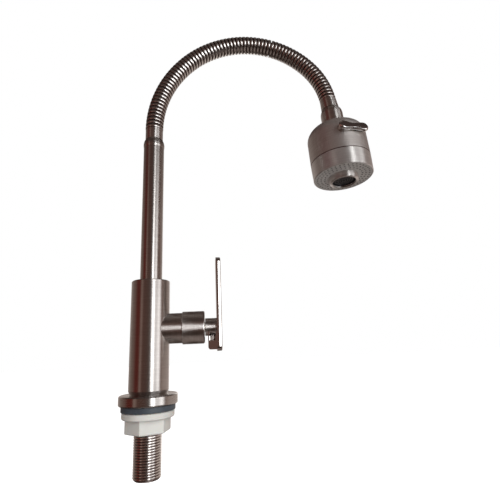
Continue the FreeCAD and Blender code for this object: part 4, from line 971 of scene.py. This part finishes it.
def darken_seam(material, height, half_width):
    """Painted shade along the seam at a height above the head's face."""
    graph = Graph(material.node_tree)
    shader = material.node_tree.nodes["Principled BSDF"]
    from_face = graph.node(
        "ShaderNodeVectorMath", {"operation": "SUBTRACT"}, {0: object_place(graph), 1: FACE_MIDDLE}
    )
    above = graph.node(
        "ShaderNodeVectorMath", {"operation": "DOT_PRODUCT"}, {0: from_face, 1: HEAD_UP}, output=1
    )
    away = graph.maths("ABSOLUTE", above - height)
    unshaded = graph.smooth(away, half_width * SEAM_CORE, half_width)
    colour = Wire(graph, shader.inputs["Base Color"].links[0].from_socket)
    # Painted shade: a dark brown line is mixed into the colour along the seam.
    feed(graph, shader, "Base Color", graph.mix(unshaded, SEAM_SHADE, colour))
    print("seam in", material.name)


for material in (head_steel, ring_steel):
    darken_seam(material, SEAM_HEIGHT, SEAM_HALF_WIDTH)

# %% [markdown]
# ## The spray nozzles
#
# Each hole in the grey face ends in a small raised rim. A picture of dots would look
# flat from the side, and a hundred rims set by hand would be slow. So a ring of points
# carries one small turned rim each, and one tree makes all three rings.

# %% A tree for one ring of nozzles
RIM_STEPS, BEAD_STEPS = 12, 6
BEAD_SHARE = 0.25


def nozzle_tree():
    """A ring of small round rims, level and centred on the origin."""
    graph, given = geometry_graph("nozzle_ring", [
        ("Ring", "Float"), ("Count", "Int"), ("Size", "Float"), ("Finish", "Material"),
    ])
    seats = graph.node("GeometryNodeMeshCircle", None, {
        "Vertices": given["Count"], "Radius": given["Ring"],
    })
    core = graph.node("GeometryNodeCurvePrimitiveCircle", None, {
        "Resolution": RIM_STEPS, "Radius": given["Size"],
    })
    bead = graph.node("GeometryNodeCurvePrimitiveCircle", None, {
        "Resolution": BEAD_STEPS, "Radius": given["Size"] * BEAD_SHARE,
    })
    rim = graph.node("GeometryNodeCurveToMesh", None, {"Curve": core, "Profile Curve": bead})
    placed = graph.node("GeometryNodeInstanceOnPoints", None, {"Points": seats, "Instance": rim})
    return end_tree(graph, placed, given["Finish"])


nozzles = nozzle_tree()
print("nodes in the nozzle tree:", len(nozzles.nodes))

# %% Set the nozzles on the face
SPRAY_RINGS = [(24.3 * MM, 40), (21.0 * MM, 34), (17.6 * MM, 28)]
NOZZLE_RADIUS, NOZZLE_RISE = 0.6 * MM, 0.42 * MM

for number, (ring, count) in enumerate(SPRAY_RINGS, start=1):
    rims = grow("nozzles_%d" % number, nozzles, {
        "Ring": ring, "Count": count, "Size": NOZZLE_RADIUS, "Finish": nozzle_rubber,
    })
    rims.data.transform(head_place @ Matrix.Translation((0, 0, NOZZLE_RISE)))
    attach(rims, "head")
print("nozzles:", sum(count for ring, count in SPRAY_RINGS))

# %% [markdown]
# ## The switch lever
#
# A small chromed lever switches between spray and stream. It is cast, with two round
# lobes and a waist, and a domed front. It could be sculpted, or cut from a block. Here
# rings of one outline are stacked, each smaller and higher than the last, and smoothed
# by a subdivision, because a formula keeps both lobes alike. Its ridge lies low, so that
# most of its front leans toward the dark ceiling.

# %% Outline the switch lever
LEVER_HALF, LOBE, WAIST = 15.0 * MM, 4.7 * MM, 3.6 * MM
OUTLINE_STEPS = 40
CROWDING = 0.8


def lever_outline():
    """Points round the lever's front view: long way, short way."""
    outline = []
    for step in range(OUTLINE_STEPS):
        angle = math.tau * step / OUTLINE_STEPS
        reach = abs(math.cos(angle)) ** CROWDING
        long_way = LEVER_HALF * math.copysign(reach, math.cos(angle))
        inward = min(1.0, abs(long_way) / (LEVER_HALF - LOBE))
        swell = WAIST + (LOBE - WAIST) * inward * inward * (3 - 2 * inward)
        past = max(0.0, abs(long_way) - (LEVER_HALF - LOBE))
        end = math.sqrt(max(0.0, 1 - (past / LOBE) ** 2))
        outline.append((long_way, math.copysign(swell * end, math.sin(angle))))
    return outline


outline = lever_outline()
print("outline points:", len(outline))

# %% Cast the switch lever
# Each level is a height in millimetres and the outline's scale there. Above the rim's
# height the waist is lower than the lobes, and the rings slip toward the low ridge.
LEVELS = [(0.0, 0.90), (0.8, 1.0), (1.5, 1.0), (2.5, 0.86), (3.2, 0.60), (3.6, 0.22)]
RIM = 1.0
WAIST_HEIGHT = 0.66
SLIP = 0.62


def lever_ring(build, height, scale):
    """The points of one level, on a lever that lies along Y with its front toward Z."""
    shrink = LOBE * (1 - scale)
    ring = []
    for long_way, short_way in outline:
        lobe = math.sin(min(1.0, abs(long_way) / (LEVER_HALF - LOBE)) * math.pi / 2) ** 2
        above_rim = height > RIM
        front = height * MM * (WAIST_HEIGHT + (1 - WAIST_HEIGHT) * lobe if above_rim else 1)
        lower = short_way * scale - shrink * (SLIP if above_rim else 0)
        ring.append(build.verts.new((lower, long_way * (1 - shrink / LEVER_HALF), front)))
    return ring


def cast_lever(name):
    """The lever, built flat at the origin from its levels."""
    build = bmesh.new()
    rings = [lever_ring(build, height, scale) for height, scale in LEVELS]
    for near, far in zip(rings, rings[1:]):
        for step in range(len(near)):
            after = (step + 1) % len(near)
            build.faces.new((near[step], near[after], far[after], far[step]))
    build.faces.new(rings[-1])
    build.faces.new(list(reversed(rings[0])))
    bmesh.ops.recalc_face_normals(build, faces=build.faces)
    mesh = bpy.data.meshes.new(name)
    build.to_mesh(mesh)
    build.free()
    mesh.shade_smooth()
    made = bpy.data.objects.new(name, mesh)
    bpy.context.scene.collection.objects.link(made)
    return made


lever = cast_lever("switch_lever")
print("lever points:", len(lever.data.vertices))

# %% Fit the switch lever on its spindle
SWITCH_AT = Vector(joints["mode_turn"]["pos_m"])
SWITCH_OUT = Vector(joints["mode_turn"]["axis"]).normalized()
SWITCH_GAP = 0.3 * MM

rise = (HEAD_UP - SWITCH_OUT * HEAD_UP.dot(SWITCH_OUT)).normalized()
switch_turn = Matrix((rise, SWITCH_OUT.cross(rise), SWITCH_OUT)).transposed().to_4x4()
lever.data.transform(Matrix.Translation(SWITCH_AT + SWITCH_OUT * SWITCH_GAP) @ switch_turn)
lever.data.materials.append(chrome)
rounding = lever.modifiers.new("rounding", "SUBSURF")
rounding.levels = rounding.render_levels = 2
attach(lever, "mode_switch")
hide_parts("mode_lever")
print("lever finish:", chrome.name)
